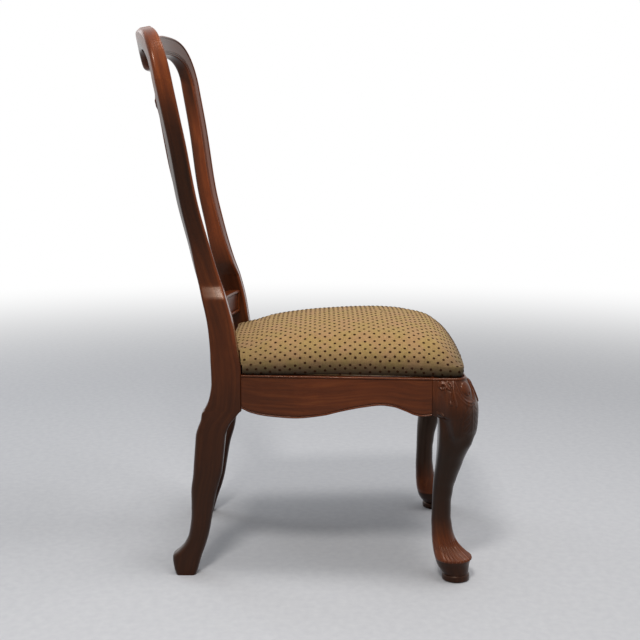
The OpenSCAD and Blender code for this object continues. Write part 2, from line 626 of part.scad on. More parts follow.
// Height of the widest line: it rises from the corners and the ends to the middle of the sides
function girth_at(p) =
    let (a = pow(p[0] / seat_half_w, 2), b = pow((p[1] - seat_mid_y) / seat_half_d, 2), w = b / (a + b))
    seat_girth + seat_side_fill * (1 - w) * (1 - 4 * w * (1 - w));
function crown_at(p, share) =
    let (girth = girth_at(p))
    girth + (seat_crown - seat_rise - girth) * sqrt(1 - pow(share, shoulder_power))
    + seat_rise * (1 - share * share);
function dome_ring(share, grown, down) =
    let (line = seat_outline(share + grown))
    [for (i = [0:len(line) - 1])
        [line[i][0], line[i][1], rail_top + crown_at(seat_line[i], share) - down]];
crown_shares = [0.995, 0.98, 0.95, 0.91, 0.85, 0.76, 0.62, 0.4];
top_share = 0.15;
function shell(inset) = let (d = inset / seat_half_w) concat(
    [seat_ring(wall_share - d, soft_gap + inset), seat_ring(wall_share + 0.01 - d, seat_girth / 3),
        dome_ring(1, -d, 0)],
    [for (s = crown_shares) dome_ring(s, -d * s, inset * (1 - pow(s, 6)))],
    [seat_ring(top_share - d, seat_crown - seat_rise * top_share * top_share - inset)]);

// Holes for the seat screws through the board, up to just under its top
module seat_screw_holes(d) {
    for (side = SIDES, end = ["front", "rear"])
        let (at = seat_screw_at(end))
        rod([side * at[0], at[1], rail_top - 1], [0, 0, 1], board_low + board_t - screw_stop + 2, d);
}
module seat_cover() {
    outer = shell(0);
    inner = shell(cover_t);
    hem = [seat_ring(hem_share, soft_gap + cover_t), seat_ring(hem_share, soft_gap)];
    color(cloth) difference() {
        loft(concat([for (i = [len(inner) - 1:-1:0]) inner[i]], hem, outer));
        seat_screw_holes(screw_d + 2 * glue_gap);
    }
}
module seat_foam() {
    rings = shell(cover_t + soft_gap);
    low = rail_top + board_low + board_t + soft_gap;
    start = [for (p = rings[1]) [p[0], p[1], low]];
    color([0.9, 0.85, 0.65]) loft(concat([start], [for (i = [2:len(rings) - 1]) rings[i]]));
}
module seat_board() {
    color(pale_wood) difference() {
        translate([0, 0, rail_top + board_low]) linear_extrude(board_t)
            polygon(seat_outline(wall_share - 2.5 * cover_t / seat_half_w));
        seat_screw_holes(screw_d + 2 * glue_gap);
    }
}
module dust_cover() {
    color([0.1, 0.1, 0.1]) difference() {
        translate([0, 0, rail_top + board_low - soft_gap - dust_t]) linear_extrude(dust_t)
            polygon(seat_outline(hem_share - 0.01));
        seat_screw_holes(screw_d + 1);
    }
}

// Dowels and screws
module rail_dowels() {
    l = 2 * dowel_deep;
    color(pale_wood) for (side = SIDES, z = rail_dowel_z) {
        rod([side * side_dowel_rear_x, post_y - dowel_deep, z], [0, 1, 0], l, dowel_d);
        rod([side * side_dowel_front_x, leg_back - dowel_deep, z], [0, 1, 0], l, dowel_d);
        rod([side * post_in - dowel_deep, rear_dowel_y, z], [1, 0, 0], l, dowel_d);
        rod([side * leg_inner - dowel_deep, front_dowel_y, z], [1, 0, 0], l, dowel_d);
    }
}
module back_dowels() {
    l = 2 * thin_dowel_deep;
    color(pale_wood) for (side = SIDES) {
        for (z = cross_dowel_z)
            rod([side * post_in - thin_dowel_deep, cross_dowel_y, z], [1, 0, 0], l, thin_dowel_d);
        for (p = crest_dowels())
            rod([side * p[0], p[1], p[2] - thin_dowel_deep], [0, 0, 1], l, thin_dowel_d);
    }
}
module block_screws() {
    color(steel) for (side = SIDES, end = ["front", "rear"], s = rail_screws(end))
        on_side(side) screw(s[0], s[1], block_screw_l);
}
module seat_screws() {
    l = rail_top + board_low + board_t - screw_stop - seat_screw_seat;
    color(steel) for (side = SIDES, end = ["front", "rear"])
        let (at = seat_screw_at(end))
        screw([side * at[0], at[1], seat_screw_seat], [0, 0, 1], l);
}

rear_post(RIGHT);  // rear_post_right
rear_post(LEFT);  // rear_post_left
crest_rail();
back_splat();
lower_back_rail();
rear_rail();
side_rail(RIGHT);  // side_rail_right
side_rail(LEFT);  // side_rail_left
front_rail();
front_leg(RIGHT);  // front_leg_right
front_leg(LEFT);  // front_leg_left
corner_block(RIGHT, "front");  // corner_block_front_right
corner_block(LEFT, "front");  // corner_block_front_left
corner_block(RIGHT, "rear");  // corner_block_rear_right
corner_block(LEFT, "rear");  // corner_block_rear_left
seat_board();
seat_foam();
seat_cover();
dust_cover();
rail_dowels();
back_dowels();
block_screws();
seat_screws();
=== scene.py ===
# Dining side chair with a hooped back, a vase splat, cabriole front legs and a dotted seat.
# Sizes are in millimetres and become metres where a mesh is made.
import math

import bmesh
import bpy
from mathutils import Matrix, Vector, geometry, noise
from mathutils.bvhtree import BVHTree


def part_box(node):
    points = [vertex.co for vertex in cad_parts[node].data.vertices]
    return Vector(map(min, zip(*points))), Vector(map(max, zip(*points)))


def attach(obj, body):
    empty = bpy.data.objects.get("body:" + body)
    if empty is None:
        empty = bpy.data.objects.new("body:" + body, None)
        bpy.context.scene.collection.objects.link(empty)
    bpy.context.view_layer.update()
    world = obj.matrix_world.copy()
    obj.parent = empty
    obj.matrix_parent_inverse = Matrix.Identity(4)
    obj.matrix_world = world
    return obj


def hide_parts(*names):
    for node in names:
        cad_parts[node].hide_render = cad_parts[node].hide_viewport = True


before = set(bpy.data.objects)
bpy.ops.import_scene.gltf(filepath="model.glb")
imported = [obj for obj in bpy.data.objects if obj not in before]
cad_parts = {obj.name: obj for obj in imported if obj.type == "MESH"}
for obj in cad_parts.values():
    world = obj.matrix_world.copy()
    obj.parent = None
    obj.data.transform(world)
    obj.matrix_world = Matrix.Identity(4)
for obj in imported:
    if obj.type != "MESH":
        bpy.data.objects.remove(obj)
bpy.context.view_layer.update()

metre = 0.001

chair = {
    "railTop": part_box("side_rail_left")[1].z / metre,
    "footX": 225.0,
    "footY": -300.0,
    "legIn": 55.0,        # from a foot's centre back to the rails
    "blockHeight": 69.0,  # of the square top of a front leg
    "hip": 548.0,
    "crestJoint": 960.0,
    "postY": 119.5,
    "postOut": 207.0,
    "railOut": 11.0,
    "railThick": 22.0,
}
chair["railLow"] = chair["railTop"] - chair["blockHeight"]
chair["legBack"] = chair["footY"] + chair["legIn"]


# Smooth curves and lofted meshes

def slopeBetween(points, i):
    return (points[i + 1][1] - points[i][1]) / (points[i + 1][0] - points[i][0])


def slopeAt(points, i):
    if i == 0:
        return slopeBetween(points, 0)
    if i == len(points) - 1:
        return slopeBetween(points, i - 1)
    before, after = slopeBetween(points, i - 1), slopeBetween(points, i)
    return 0.0 if before * after <= 0 else 2 * before * after / (before + after)


def curve(points, x):
    i = 0
    while i < len(points) - 2 and x >= points[i + 1][0]:
        i += 1
    h = points[i + 1][0] - points[i][0]
    t = (x - points[i][0]) / h
    return (points[i][1] * (1 + 2 * t) * (1 - t) ** 2 + slopeAt(points, i) * h * t * (1 - t) ** 2
            + points[i + 1][1] * t * t * (3 - 2 * t) + slopeAt(points, i + 1) * h * t * t * (t - 1))


def smooth(x, low, high):
    t = max(0.0, min(1.0, (x - low) / (high - low)))
    return t * t * (3 - 2 * t)


def bump(x, centre, half):
    return math.exp(-((x - centre) / half) ** 2)


def steps(low, high, count):
    return [low + (high - low) * i / count for i in range(count + 1)]


def cornerArc(before, corner, after, radius, count):
    back, on = (before - corner).normalized(), (after - corner).normalized()
    points = []
    for i in range(count + 1):
        turn = math.pi / 2 * i / count
        points.append(corner + back * radius * (1 - math.sin(turn)) + on * radius * (1 - math.cos(turn)))
    return points


# Ring through four corners: each corner is an arc, each side has its own number of points
def roundedRing(corners, radii, cornerCount, sideCounts):
    ring = []
    for i in range(4):
        arc = cornerArc(corners[i - 1], corners[i], corners[(i + 1) % 4], radii[i], cornerCount)
        ring += arc
        following = cornerArc(corners[i], corners[(i + 1) % 4], corners[(i + 2) % 4],
                              radii[(i + 1) % 4], cornerCount)[0]
        for k in range(1, sideCounts[i]):
            ring.append(arc[-1].lerp(following, k / sideCounts[i]))
    return ring


# Quads between rings of the same number of points
def ringFaces(ringCount, count):
    faces = []
    for i in range(ringCount - 1):
        for j in range(count):
            a, b = i * count + j, i * count + (j + 1) % count
            faces.append((a, b, b + count, a + count))
    return faces


# Mesh skinned over equal rings, with its grain coordinates and how deep each point is carved, which sets the
# glaze and painted shade in its hollows.
# The tone, a multiplier of the stain that also carries painted light and shade, is one number, a list of them
# or a function of the point
def loftPiece(name, rings, material, depths=None, sharp=38, mirror=False, tone=0.5):
    side = -1 if mirror else 1
    count = len(rings[0])
    centres = [sum(ring, Vector()) / count for ring in rings]
    run = [0.0]
    for a, b in zip(centres, centres[1:]):
        run.append(run[-1] + (b - a).length)
    verts, grain = [], []
    for i, ring in enumerate(rings):
        along = (centres[min(i + 1, len(rings) - 1)] - centres[max(i - 1, 0)]).normalized()
        across = along.cross(Vector((0, 1, 0) if abs(along.y) < 0.8 else (0, 0, 1))).normalized()
        other = along.cross(across)
        for p in ring:
            offset = p - centres[i]
            verts.append((side * p.x * metre, p.y * metre, p.z * metre))
            grain.append((offset.dot(across), offset.dot(other), run[i]))
    faces = ringFaces(len(rings), count)
    if mirror:
        faces = [(a, d, c, b) for a, b, c, d in faces]
    last = (len(rings) - 1) * count
    caps = [list(range(count - 1, -1, -1)), [last + j for j in range(count)]]
    faces += [tuple(reversed(c)) if mirror else tuple(c) for c in caps]
    if callable(tone):
        tone = [tone(Vector(v) / metre) for v in verts]
    tones = tone if isinstance(tone, list) else [tone] * len(verts)
    return meshPiece(name, verts, faces, material, grain, depths, sharp, tones)


def meshPiece(name, verts, faces, material, grain=None, depths=None, sharp=38, tones=None):
    mesh = bpy.data.meshes.new(name)
    mesh.from_pydata(verts, [], faces)
    mesh.validate()
    shape = bmesh.new()
    shape.from_mesh(mesh)
    bmesh.ops.recalc_face_normals(shape, faces=shape.faces)
    shape.to_mesh(mesh)
    shape.free()
    if grain:
        layer = mesh.attributes.new("grain", "FLOAT_VECTOR", "POINT")
        layer.data.foreach_set("vector", [c for g in grain for c in g])
    for attribute, values, usual in (("carved", depths, 0.0), ("tone", tones, 0.5)):
        layer = mesh.attributes.new(attribute, "FLOAT", "POINT")
        layer.data.foreach_set("value", values or [usual] * len(verts))
    mesh.shade_smooth()
    mesh.set_sharp_from_angle(angle=math.radians(sharp))
    mesh.materials.append(material)
    return addObject(name, mesh)


def addObject(name, data):
    thing = bpy.data.objects.new(name, data)
    bpy.context.scene.collection.objects.link(thing)
    return thing


def place(piece, slot, *nodes):
    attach(piece, "root")
    if nodes:
        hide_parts(*nodes)
    return piece


# Materials

def newMaterial(name):
    material = bpy.data.materials.new(name)
    material.use_nodes = True
    tree = material.node_tree
    tree.nodes.clear()
    shader = tree.nodes.new("ShaderNodeBsdfPrincipled")
    output = tree.nodes.new("ShaderNodeOutputMaterial")
    tree.links.new(shader.outputs["BSDF"], output.inputs["Surface"])
    return material, tree, shader


def addNode(tree, kind, inputs=None, **settings):
    node = tree.nodes.new("ShaderNode" + kind)
    for key, value in settings.items():
        setattr(node, key, value)
    for key, value in (inputs or {}).items():
        if hasattr(value, "is_output"):
            tree.links.new(value, node.inputs[key])
        else:
            node.inputs[key].default_value = value
    return node


def maths(tree, operation, a, b=0.0, clamp=False):
    return addNode(tree, "Math", {0: a, 1: b}, operation=operation, use_clamp=clamp).outputs[0]


def mixColours(tree, share, a, b, kind="MIX"):
    node = addNode(tree, "Mix", data_type="RGBA", blend_type=kind)
    for socket, value in ((0, share), (6, a), (7, b)):
        if hasattr(value, "is_output"):
            tree.links.new(value, node.inputs[socket])
        else:
            node.inputs[socket].default_value = value
    return node.outputs[2]


def ramp(tree, value, stops):
    node = addNode(tree, "ValToRGB", {"Fac": value})
    while len(node.color_ramp.elements) < len(stops):
        node.color_ramp.elements.new(0.5)
    for element, (place, colour) in zip(node.color_ramp.elements, stops):
        element.position = place
        element.color = colour
    return node.outputs["Color"]


def colour(red, green, blue):
    def linear(c):
        c /= 255
        return c / 12.92 if c <= 0.04045 else ((c + 0.055) / 1.055) ** 2.4
    return (linear(red), linear(green), linear(blue), 1.0)


def scaled(tree, place, scale):
    return addNode(tree, "Mapping", {"Vector": place, "Scale": scale}).outputs[0]


def noiseAt(tree, place, scale, detail=2.0, roughness=0.5, output="Fac"):
    sockets = {"Vector": place, "Scale": scale, "Detail": detail, "Roughness": roughness}
    return addNode(tree, "TexNoise", sockets).outputs[output]


# Moves the pattern's places by a noise, each way by its own amount
def shaken(tree, place, scale, amounts):
    moved = noiseAt(tree, place, scale, output="Color")
    moved = addNode(tree, "VectorMath", {0: moved, 1: amounts}, operation="MULTIPLY").outputs[0]
    return addNode(tree, "VectorMath", {0: place, 1: moved}, operation="ADD").outputs[0]


def span(tree, value, low, high, fromLow=0.0, fromHigh=1.0):
    return addNode(tree, "MapRange", {"Value": value, 1: fromLow, 2: fromHigh, 3: low, 4: high}).outputs[0]


def dress(tree, shader, tone, height, strength, depth):
    tree.links.new(tone, shader.inputs["Base Color"])
    relief = addNode(tree, "Bump", {"Height": height, "Strength": strength, "Distance": depth * metre})
    tree.links.new(relief.outputs[0], shader.inputs["Normal"])


polish = {
    "light": colour(124, 63, 28),
    "middle": colour(98, 45, 19),
    "dark": colour(70, 31, 14),
    # dark glaze with painted shade, laid into hollows by how deep they are cut
    "glazeAndShade": colour(34, 16, 10),
    "roughness": (0.24, 0.36),
    "specular": 0.3,
    "specularTint": (1.0, 0.68, 0.5, 1.0),   # the film of polish is amber
    "coat": 0.1,
    "coatRoughness": 0.16,
    "poreLength": 26.0,
    "poreDepth": 0.035,
    "stainSpread": (0.72, 1.28),   # how unevenly the stain took
}


def makeWood(name, look, fromMesh=True, tint=1.0):
    material, tree, shader = newMaterial(name)
    if fromMesh:
        place = addNode(tree, "Attribute", attribute_name="grain").outputs["Vector"]
        carved = addNode(tree, "Attribute", attribute_name="carved").outputs["Fac"]
        tone = addNode(tree, "Attribute", attribute_name="tone").outputs["Fac"]
    else:
        coords = addNode(tree, "TexCoord").outputs["Object"]
        place = scaled(tree, coords, (1000, 1000, 1000))
        carved = None
    place = shaken(tree, place, 0.011, (9.0, 9.0, 60.0))
    figure = noiseAt(tree, scaled(tree, place, (0.16, 0.16, 0.008)), 1.0, 4.0, 0.55)
    streak = noiseAt(tree, scaled(tree, place, (1.3, 1.3, 0.02)), 1.0, 3.0)
    shade = maths(tree, "ADD", maths(tree, "MULTIPLY", figure, 0.75), maths(tree, "MULTIPLY", streak, 0.25))
    shade = ramp(tree, shade, [(0.26, look["dark"]), (0.5, look["middle"]), (0.76, look["light"])])
    stain = noiseAt(tree, place, 0.013)
    stainAndPaintedLight = span(tree, stain, *(s * tint for s in look["stainSpread"]))
    # the tone multiplies painted light and shade into the stain
    if fromMesh:
        stainAndPaintedLight = maths(tree, "MULTIPLY", stainAndPaintedLight, tone)
    toned = addNode(tree, "HueSaturation", {"Value": stainAndPaintedLight, "Color": shade}).outputs[0]
    pore = noiseAt(tree, scaled(tree, place, (2.4, 2.4, 1 / look["poreLength"])), 1.6)
    pores = ramp(tree, pore, [(0.34, (0.45, 0.45, 0.45, 1)), (0.46, (1, 1, 1, 1))])
    toned = mixColours(tree, 0.5, toned, pores, "MULTIPLY")
    # painted shade: the hollows are darkened towards the glaze colour
    if carved:
        toned = mixColours(tree, maths(tree, "MULTIPLY", carved, 0.85, clamp=True), toned, look["glazeAndShade"])
    dress(tree, shader, toned, pore, 0.35, look["poreDepth"])
    tree.links.new(span(tree, stain, *look["roughness"]), shader.inputs["Roughness"])
    shader.inputs["Specular IOR Level"].default_value = look["specular"]
    shader.inputs["Specular Tint"].default_value = look["specularTint"]
    shader.inputs["Coat Weight"].default_value = look["coat"]
    shader.inputs["Coat Roughness"].default_value = look["coatRoughness"]
    return material


paleWood = dict(polish, light=colour(214, 180, 132), middle=colour(190, 152, 104), dark=colour(160, 120, 78),
                glazeAndShade=colour(90, 60, 36), roughness=(0.5, 0.7), coat=0.0)
rawPly = dict(paleWood, light=colour(206, 176, 132), middle=colour(188, 156, 112), dark=colour(166, 132, 92))

showWood = makeWood("polished_mahogany", polish)
blockWood = makeWood("corner_block_wood", paleWood, fromMesh=False)
dowelWood = makeWood("dowel_beech", paleWood, fromMesh=False, tint=1.05)
plywood = makeWood("seat_board_plywood", rawPly, fromMesh=False)

cloth = {
    "ground": colour(200, 164, 112),
    "groundDark": colour(160, 126, 80),
    "patches": (colour(250, 253, 222), colour(255, 246, 242)),
    # painted shade, darker down towards where it tucks in: heights, and the shade at shares of the way up
    "hemShadeHeights": (404, 462),
    "hem": [(0.0, 0.08), (0.17, 0.2), (0.35, 0.4), (0.6, 0.66), (1.0, 0.96)],
    "threadPitch": 1.15,
    "threadDepth": 0.22,
}


def makeFabric(name, look):
    material, tree, shader = newMaterial(name)
    place = addNode(tree, "Attribute", attribute_name="cloth").outputs["Vector"]
    moved = shaken(tree, place, 0.06, (2.2, 2.2, 0))
    threads = addNode(tree, "SeparateXYZ", {0: moved})
    turn = math.tau / look["threadPitch"]
    warpWave = maths(tree, "SINE", maths(tree, "MULTIPLY", threads.outputs[0], turn))
    weftWave = maths(tree, "SINE", maths(tree, "MULTIPLY", threads.outputs[1], turn))
    weave = maths(tree, "MULTIPLY", warpWave, weftWave)
    slub = noiseAt(tree, scaled(tree, moved, (0.9, 0.12, 1)), 1.0, 3.0)
    cross = noiseAt(tree, scaled(tree, moved, (0.1, 0.8, 1)), 1.0, 3.0)
    mottle = maths(tree, "ADD", maths(tree, "MULTIPLY", slub, 0.5), maths(tree, "MULTIPLY", cross, 0.5))
    share = span(tree, mottle, 0.0, 1.0, 0.34, 0.66)
    ground = mixColours(tree, share, look["groundDark"], look["ground"])
    woven = span(tree, weave, 0.72, 1.08, -1.0, 1.0)
    ground = addNode(tree, "HueSaturation", {"Value": woven, "Color": ground}).outputs[0]
    coords = addNode(tree, "TexCoord").outputs["Object"]
    low, high = look["hemShadeHeights"]
    up = span(tree, addNode(tree, "SeparateXYZ", {0: coords}).outputs[2], 0.0, 1.0, low * metre, high * metre)
    # painted shade towards the hem, by height
    hemShade = ramp(tree, up, [(stop, (share, share, share, 1)) for stop, share in look["hem"]])
    ground = mixColours(tree, 1.0, ground, hemShade, "MULTIPLY")
    patch = ramp(tree, noiseAt(tree, place, 0.03), [(0.38, look["patches"][0]), (0.62, look["patches"][1])])
    ground = mixColours(tree, 1.0, ground, patch, "MULTIPLY")
    dress(tree, shader, ground, weave, 0.6, look["threadDepth"])
    shader.inputs["Roughness"].default_value = 0.85
    shader.inputs["Sheen Weight"].default_value = 0.06
    shader.inputs["Sheen Roughness"].default_value = 0.5
    return material


yarn = {
    "fibres": (900.0, 2.0),
    "colours": (colour(38, 20, 10), colour(62, 36, 18)),
    "relief": (0.6, 0.3),
    "specular": 0.1,
}
blackCloth = {
    "fibres": (700.0, 3.0),
    "colours": (colour(20, 20, 21), colour(46, 45, 46)),
    "relief": (0.5, 0.2),
    "specular": 0.5,
}


def makeFibres(name, look):
    material, tree, shader = newMaterial(name)
    fibres = noiseAt(tree, addNode(tree, "TexCoord").outputs["Object"], *look["fibres"])
    dark, light = look["colours"]
    dress(tree, shader, ramp(tree, fibres, [(0.3, dark), (0.7, light)]), fibres, *look["relief"])
    shader.inputs["Roughness"].default_value = 0.9
    shader.inputs["Specular IOR Level"].default_value = look["specular"]
    return material


def makeSteel(name):
    material, tree, shader = newMaterial(name)
    coords = addNode(tree, "TexCoord").outputs["Object"]
    marks = noiseAt(tree, scaled(tree, coords, (2600, 2600, 300)), 1.0)
    tone = ramp(tree, marks, [(0.3, colour(128, 122, 108)), (0.7, colour(186, 180, 164))])
    tree.links.new(tone, shader.inputs["Base Color"])
    tree.links.new(span(tree, marks, 0.28, 0.45), shader.inputs["Roughness"])
    shader.inputs["Metallic"].default_value = 1.0
    return material


seatFabric = makeFabric("tan_seat_fabric", cloth)
dotYarn = makeFibres("brown_dot_yarn", yarn)
cambric = makeFibres("black_cambric", blackCloth)
screwSteel = makeSteel("screw_steel")
print("materials made")


# Rear posts: leg and back upright in one

posts = {
    "frontLine": [[0, 93.5], [12, 89.5], [36, 82.5], [61, 73.5], [86, 66.5], [110, 62], [161, 53],
                  [210, 40], [262, 34], [284, 31.5], [302, 24.5], [321, 10.5], [329, 4.5], [333, 0],
                  [410, 0], [450, 6.5], [500, 14.5]],
    "hipSet": 26.5,
    "lean": 89.0,
    "leanLine": [[0, 0], [0.15, 0.21], [0.27, 0.36], [0.46, 0.57], [0.73, 0.77], [1, 1], [1.3, 1.25]],
    "depthLine": [[0, 39], [12, 47], [30, 55], [38, 57], [50, 48.5], [63, 42.5], [80, 39.5], [104, 40],
                  [145, 45], [185, 53], [226, 57], [286, 58], [306, 60], [333, 72], [345, 66.5],
                  [365, 60.5], [388, 57.5], [414, 58], [452, 52.5], [492, 49.5]],
    "stileDepths": [[0.05, 13], [0.15, 9], [0.27, 4.5], [0.46, 2], [0.73, 0.5], [1, 0]],
    "stileDepth": 32.0,
    "width": 38.0,
    "stileWidth": 30.0,
    "waistHalf": 192.0,
    "backHalf": 250.0,
    "waistLine": [[0.15, 0], [0.22, 0.03], [0.29, 0.1], [0.5, 0.35], [0.71, 0.65], [0.82, 0.83], [1, 1]],
    "bow": 50.0,
    "cants": [[0, 0], [0.1, 0.3], [0.3, 0.7], [0.5, 0.92], [0.65, 1], [1, 1]],
    "edgeRadius": 6.0,
    "faceRadius": 3.6,
    "mouldFrom": (436, 456),   # heights over which the moulding starts
    # How light the wood is by height, stain with painted light and shade: on the outside, on the inside and
    # on the front of the back
    "outerTone": [[0, 0.2], [100, 0.2], [200, 0.22], [340, 0.36], [450, 0.62], [560, 0.62], [620, 0.5],
                  [700, 0.24], [780, 0.16], [850, 0.28], [900, 0.45], [960, 1.2], [1072, 1.4]],
    "innerTone": [[0, 0.2], [500, 0.4], [560, 0.3], [600, 0.7], [650, 1.5], [850, 1.6], [900, 1.0],
                  [950, 0.35], [1072, 0.35]],
    "frontFrom": [[0, 0], [430, 0], [480, 1], [1072, 1]],
    "frontTone": 1.3,
}
rise = chair["crestJoint"] - chair["hip"]


def stileZ(share):
    return chair["hip"] + share * rise


frontLine = posts["frontLine"] + [[stileZ(s), posts["hipSet"] + posts["lean"] * v]
                                  for s, v in posts["leanLine"]]
depthLine = posts["depthLine"] + [[stileZ(s), posts["stileDepth"] + v] for s, v in posts["stileDepths"]]
widthLine = [[0, 36], [34, 38], [80, 33], [213, 36], [293, 38], [chair["hip"], posts["width"]],
             [stileZ(0.1), posts["stileWidth"] + 2], [chair["crestJoint"], posts["stileWidth"]]]
# straight up to the hip, then an even slope in to the waist
outerLine = [[0, chair["postOut"]], [chair["hip"], chair["postOut"]], [549, 206.6], [552, 205.4],
             [557, 202.8], [562, 200.2], [567, 197.6], [572, 195.0], [576, 193.2], [584, 192.2]]
outerLine += [[stileZ(s), posts["waistHalf"] + v * (posts["backHalf"] - posts["waistHalf"])]
              for s, v in posts["waistLine"]]
roundLine = [[0, 9], [34, 12], [90, 15], [233, 12], [313, 6], [333, 4], [chair["hip"], 4],
             [stileZ(0.1), posts["edgeRadius"]], [chair["crestJoint"], posts["edgeRadius"]]]


def backY(z):
    return chair["postY"] + curve(frontLine, z)


# Moulding on the front of the back, by the distance from the outer and inner edges
moulding = {
    "groove": 5.6,        # middle of the quirk inside the outer bead
    "grooveHalf": 1.35,
    "grooveDepth": 2.3,
    "field": 0.9,         # how far the flat between the beads is sunk
    "innerLines": (7.4, 3.4),
    "innerDepth": 0.95,
    "innerHalf": 0.75,
}


def mouldingDepth(outer, inner):
    depth = moulding["field"] * smooth(outer, moulding["groove"], moulding["groove"] + 2)
    depth += (moulding["grooveDepth"] - moulding["field"] / 2) * bump(outer, moulding["groove"],
                                                                       moulding["grooveHalf"])
    for line in moulding["innerLines"]:
        depth += moulding["innerDepth"] * bump(inner, line, moulding["innerHalf"])
    middle = sum(moulding["innerLines"]) / 2
    depth -= 0.5 * bump(inner, middle, 1.3)
    return depth - moulding["field"] * (1 - smooth(inner, 0.6, 2.6))


def edgeRound(t, radius):
    return radius - math.sqrt(max(0.0, radius ** 2 - (radius - t) ** 2)) if t < radius else 0.0


faceCount = 46   # steps across the front face of a section
edgeCount = 7    # and round each of its edges


# Section of a back member: its front face carries the moulding, its other corners are round
def mouldedRing(corners, radius, faceRadius, amount):
    outer, outerBack, innerBack, inner = corners
    across = (inner - outer).normalized()
    width = (inner - outer).length
    deep = (outerBack - outer).normalized()
    ring, carved = [], []
    edge = [faceRadius * (1 - math.cos(math.pi / 2 * k / edgeCount)) for k in range(edgeCount)]
    reach = edge + steps(faceRadius, width - faceRadius, faceCount) + [width - e for e in reversed(edge)]
    for t in reversed(reach):
        cut = mouldingDepth(t, width - t) * amount
        rounded = edgeRound(t, faceRadius) + edgeRound(width - t, faceRadius)
        ring.append(outer + across * t + deep * (rounded + cut))
        # the deeper the cut, the more glaze and painted shade in the groove
        carved.append(max(0.0, min(1.0, cut / moulding["grooveDepth"] * 1.2)) ** 1.3)
    backPart = roundedRing([ring[-1], outerBack, innerBack, ring[0]], [0.0, radius, radius, 0.0], 5,
                           [10, 12, 10, 1])
    backPart = backPart[6:-6]
    return ring + backPart, carved + [0.0] * len(backPart)


def postRing(z):
    outer, width, depth = curve(outerLine, z), curve(widthLine, z), curve(depthLine, z)
    turn = postTurn(z, outer, width)
    corner = Vector((outer, backY(z), z))
    across = Vector((-math.cos(turn), math.sin(turn), 0)) * width
    deep = Vector((math.sin(turn), math.cos(turn), 0)) * depth
    amount = smooth(z, *posts["mouldFrom"])
    radius = curve(roundLine, z)
    faceRadius = radius + (posts["faceRadius"] - radius) * amount
    return mouldedRing([corner, corner + deep, corner + deep + across, corner + across],
                       radius, faceRadius, amount)


def postTurn(z, outer, width):
    if z < chair["hip"]:
        return 0.0
    cant = curve(posts["cants"], min(1.0, (z - chair["hip"]) / rise))
    return math.atan(cant * posts["bow"] * (2 * outer - width) / outer ** 2)


# Stain with painted light and shade: lighter where the inner faces and the top of the back caught light,
# darker low down
def postTone(p):
    width, outer = curve(widthLine, p.z), curve(outerLine, p.z)
    inward = smooth(outer - abs(p.x), width * 0.45, width * 0.9)
    tone = curve(posts["outerTone"], p.z) * (1 - inward) + curve(posts["innerTone"], p.z) * inward
    behind = p.y - backY(p.z) - math.tan(postTurn(p.z, outer, width)) * (outer - abs(p.x))
    front = (1 - smooth(behind, 3.5, 7)) * curve(posts["frontFrom"], p.z)
    return tone * (1 - front) + posts["frontTone"] * front


def makePost(name, mirror):
    levels = steps(0, 110, 44)[:-1] + steps(110, 300, 26)[:-1] + steps(300, 350, 24)[:-1]
    levels += steps(350, 530, 26)[:-1] + steps(530, 590, 20)[:-1] + steps(590, chair["crestJoint"], 52)
    made = [postRing(z) for z in levels]
    depths = [d for _, carved in made for d in carved]
    piece = loftPiece(name, [ring for ring, _ in made], showWood, depths, mirror=mirror, tone=postTone)
    return place(piece, "show_wood", "rear_post_right" if mirror else "rear_post_left")


makePost("rear_post_right_wood", True)
makePost("rear_post_left_wood", False)
print("rear posts made")


# Crest rail: the hoop over the back

crest = {
    "rise": 100.0,
    "ornament": 12.0,
    "face": 38.0,
    "drop": 36.0,
    "thick": 28.0,
    "yokeDip": 5.0,
    "yokeX": 62.0,
    "yokeHalf": 26.0,
    "ornamentHalf": 24.0,
    "dropHalf": 60.0,
    "shoulderPower": 8,
    # How light the wood is, stain with painted light and shade, a painted highlight on the outside: on the
    # outside, on the inside and on the front of the hoop
    "outerTone": 1.25,
    "innerTone": 0.35,
    "frontTone": 0.55,
    "toneBlend": 60.0,    # above the joint with the posts
}
crestTurn = math.atan(posts["bow"] * (2 * posts["backHalf"] - posts["stileWidth"]) / posts["backHalf"] ** 2)
crestInHalf = posts["backHalf"] - posts["stileWidth"] * math.cos(crestTurn)


def shoulder(share):
    return math.sqrt(max(0.0, 1 - abs(share) ** crest["shoulderPower"]))


def crestOuterZ(x):
    return (chair["crestJoint"] + crest["rise"] * shoulder(x / posts["backHalf"])
            + crest["ornament"] * bump(x, 0, crest["ornamentHalf"])
            - crest["yokeDip"] * bump(abs(x), crest["yokeX"], crest["yokeHalf"]))


def crestInnerZ(x):
    return (chair["crestJoint"] + (crest["rise"] - crest["face"]) * shoulder(x / crestInHalf)
            - crest["drop"] / (1 + (x / crest["dropHalf"]) ** 6))


def backFace(x, z):
    return backY(z) + posts["bow"] * (1 - (x / posts["backHalf"]) ** 2)


def crestRing(share):
    up = shoulder(share)
    outerX, innerX = posts["backHalf"] * share, crestInHalf * share
    outerZ, innerZ = crestOuterZ(outerX), crestInnerZ(innerX)
    slopeX = -posts["bow"] * (outerX + innerX) / posts["backHalf"] ** 2
    top = chair["crestJoint"] + crest["rise"]
    slopeZ = (backY(top) - backY(chair["crestJoint"])) / crest["rise"]
    deep = Vector((-slopeX, 1, -slopeZ * up)).normalized()
    deep *= posts["stileDepth"] + (crest["thick"] - posts["stileDepth"]) * up
    outer = Vector((outerX, backFace(outerX, outerZ), outerZ))
    inner = Vector((innerX, backFace(innerX, innerZ), innerZ))
    return mouldedRing([outer, outer + deep, inner + deep, inner], posts["edgeRadius"] + 2 * up,
                       posts["faceRadius"], 1.0)


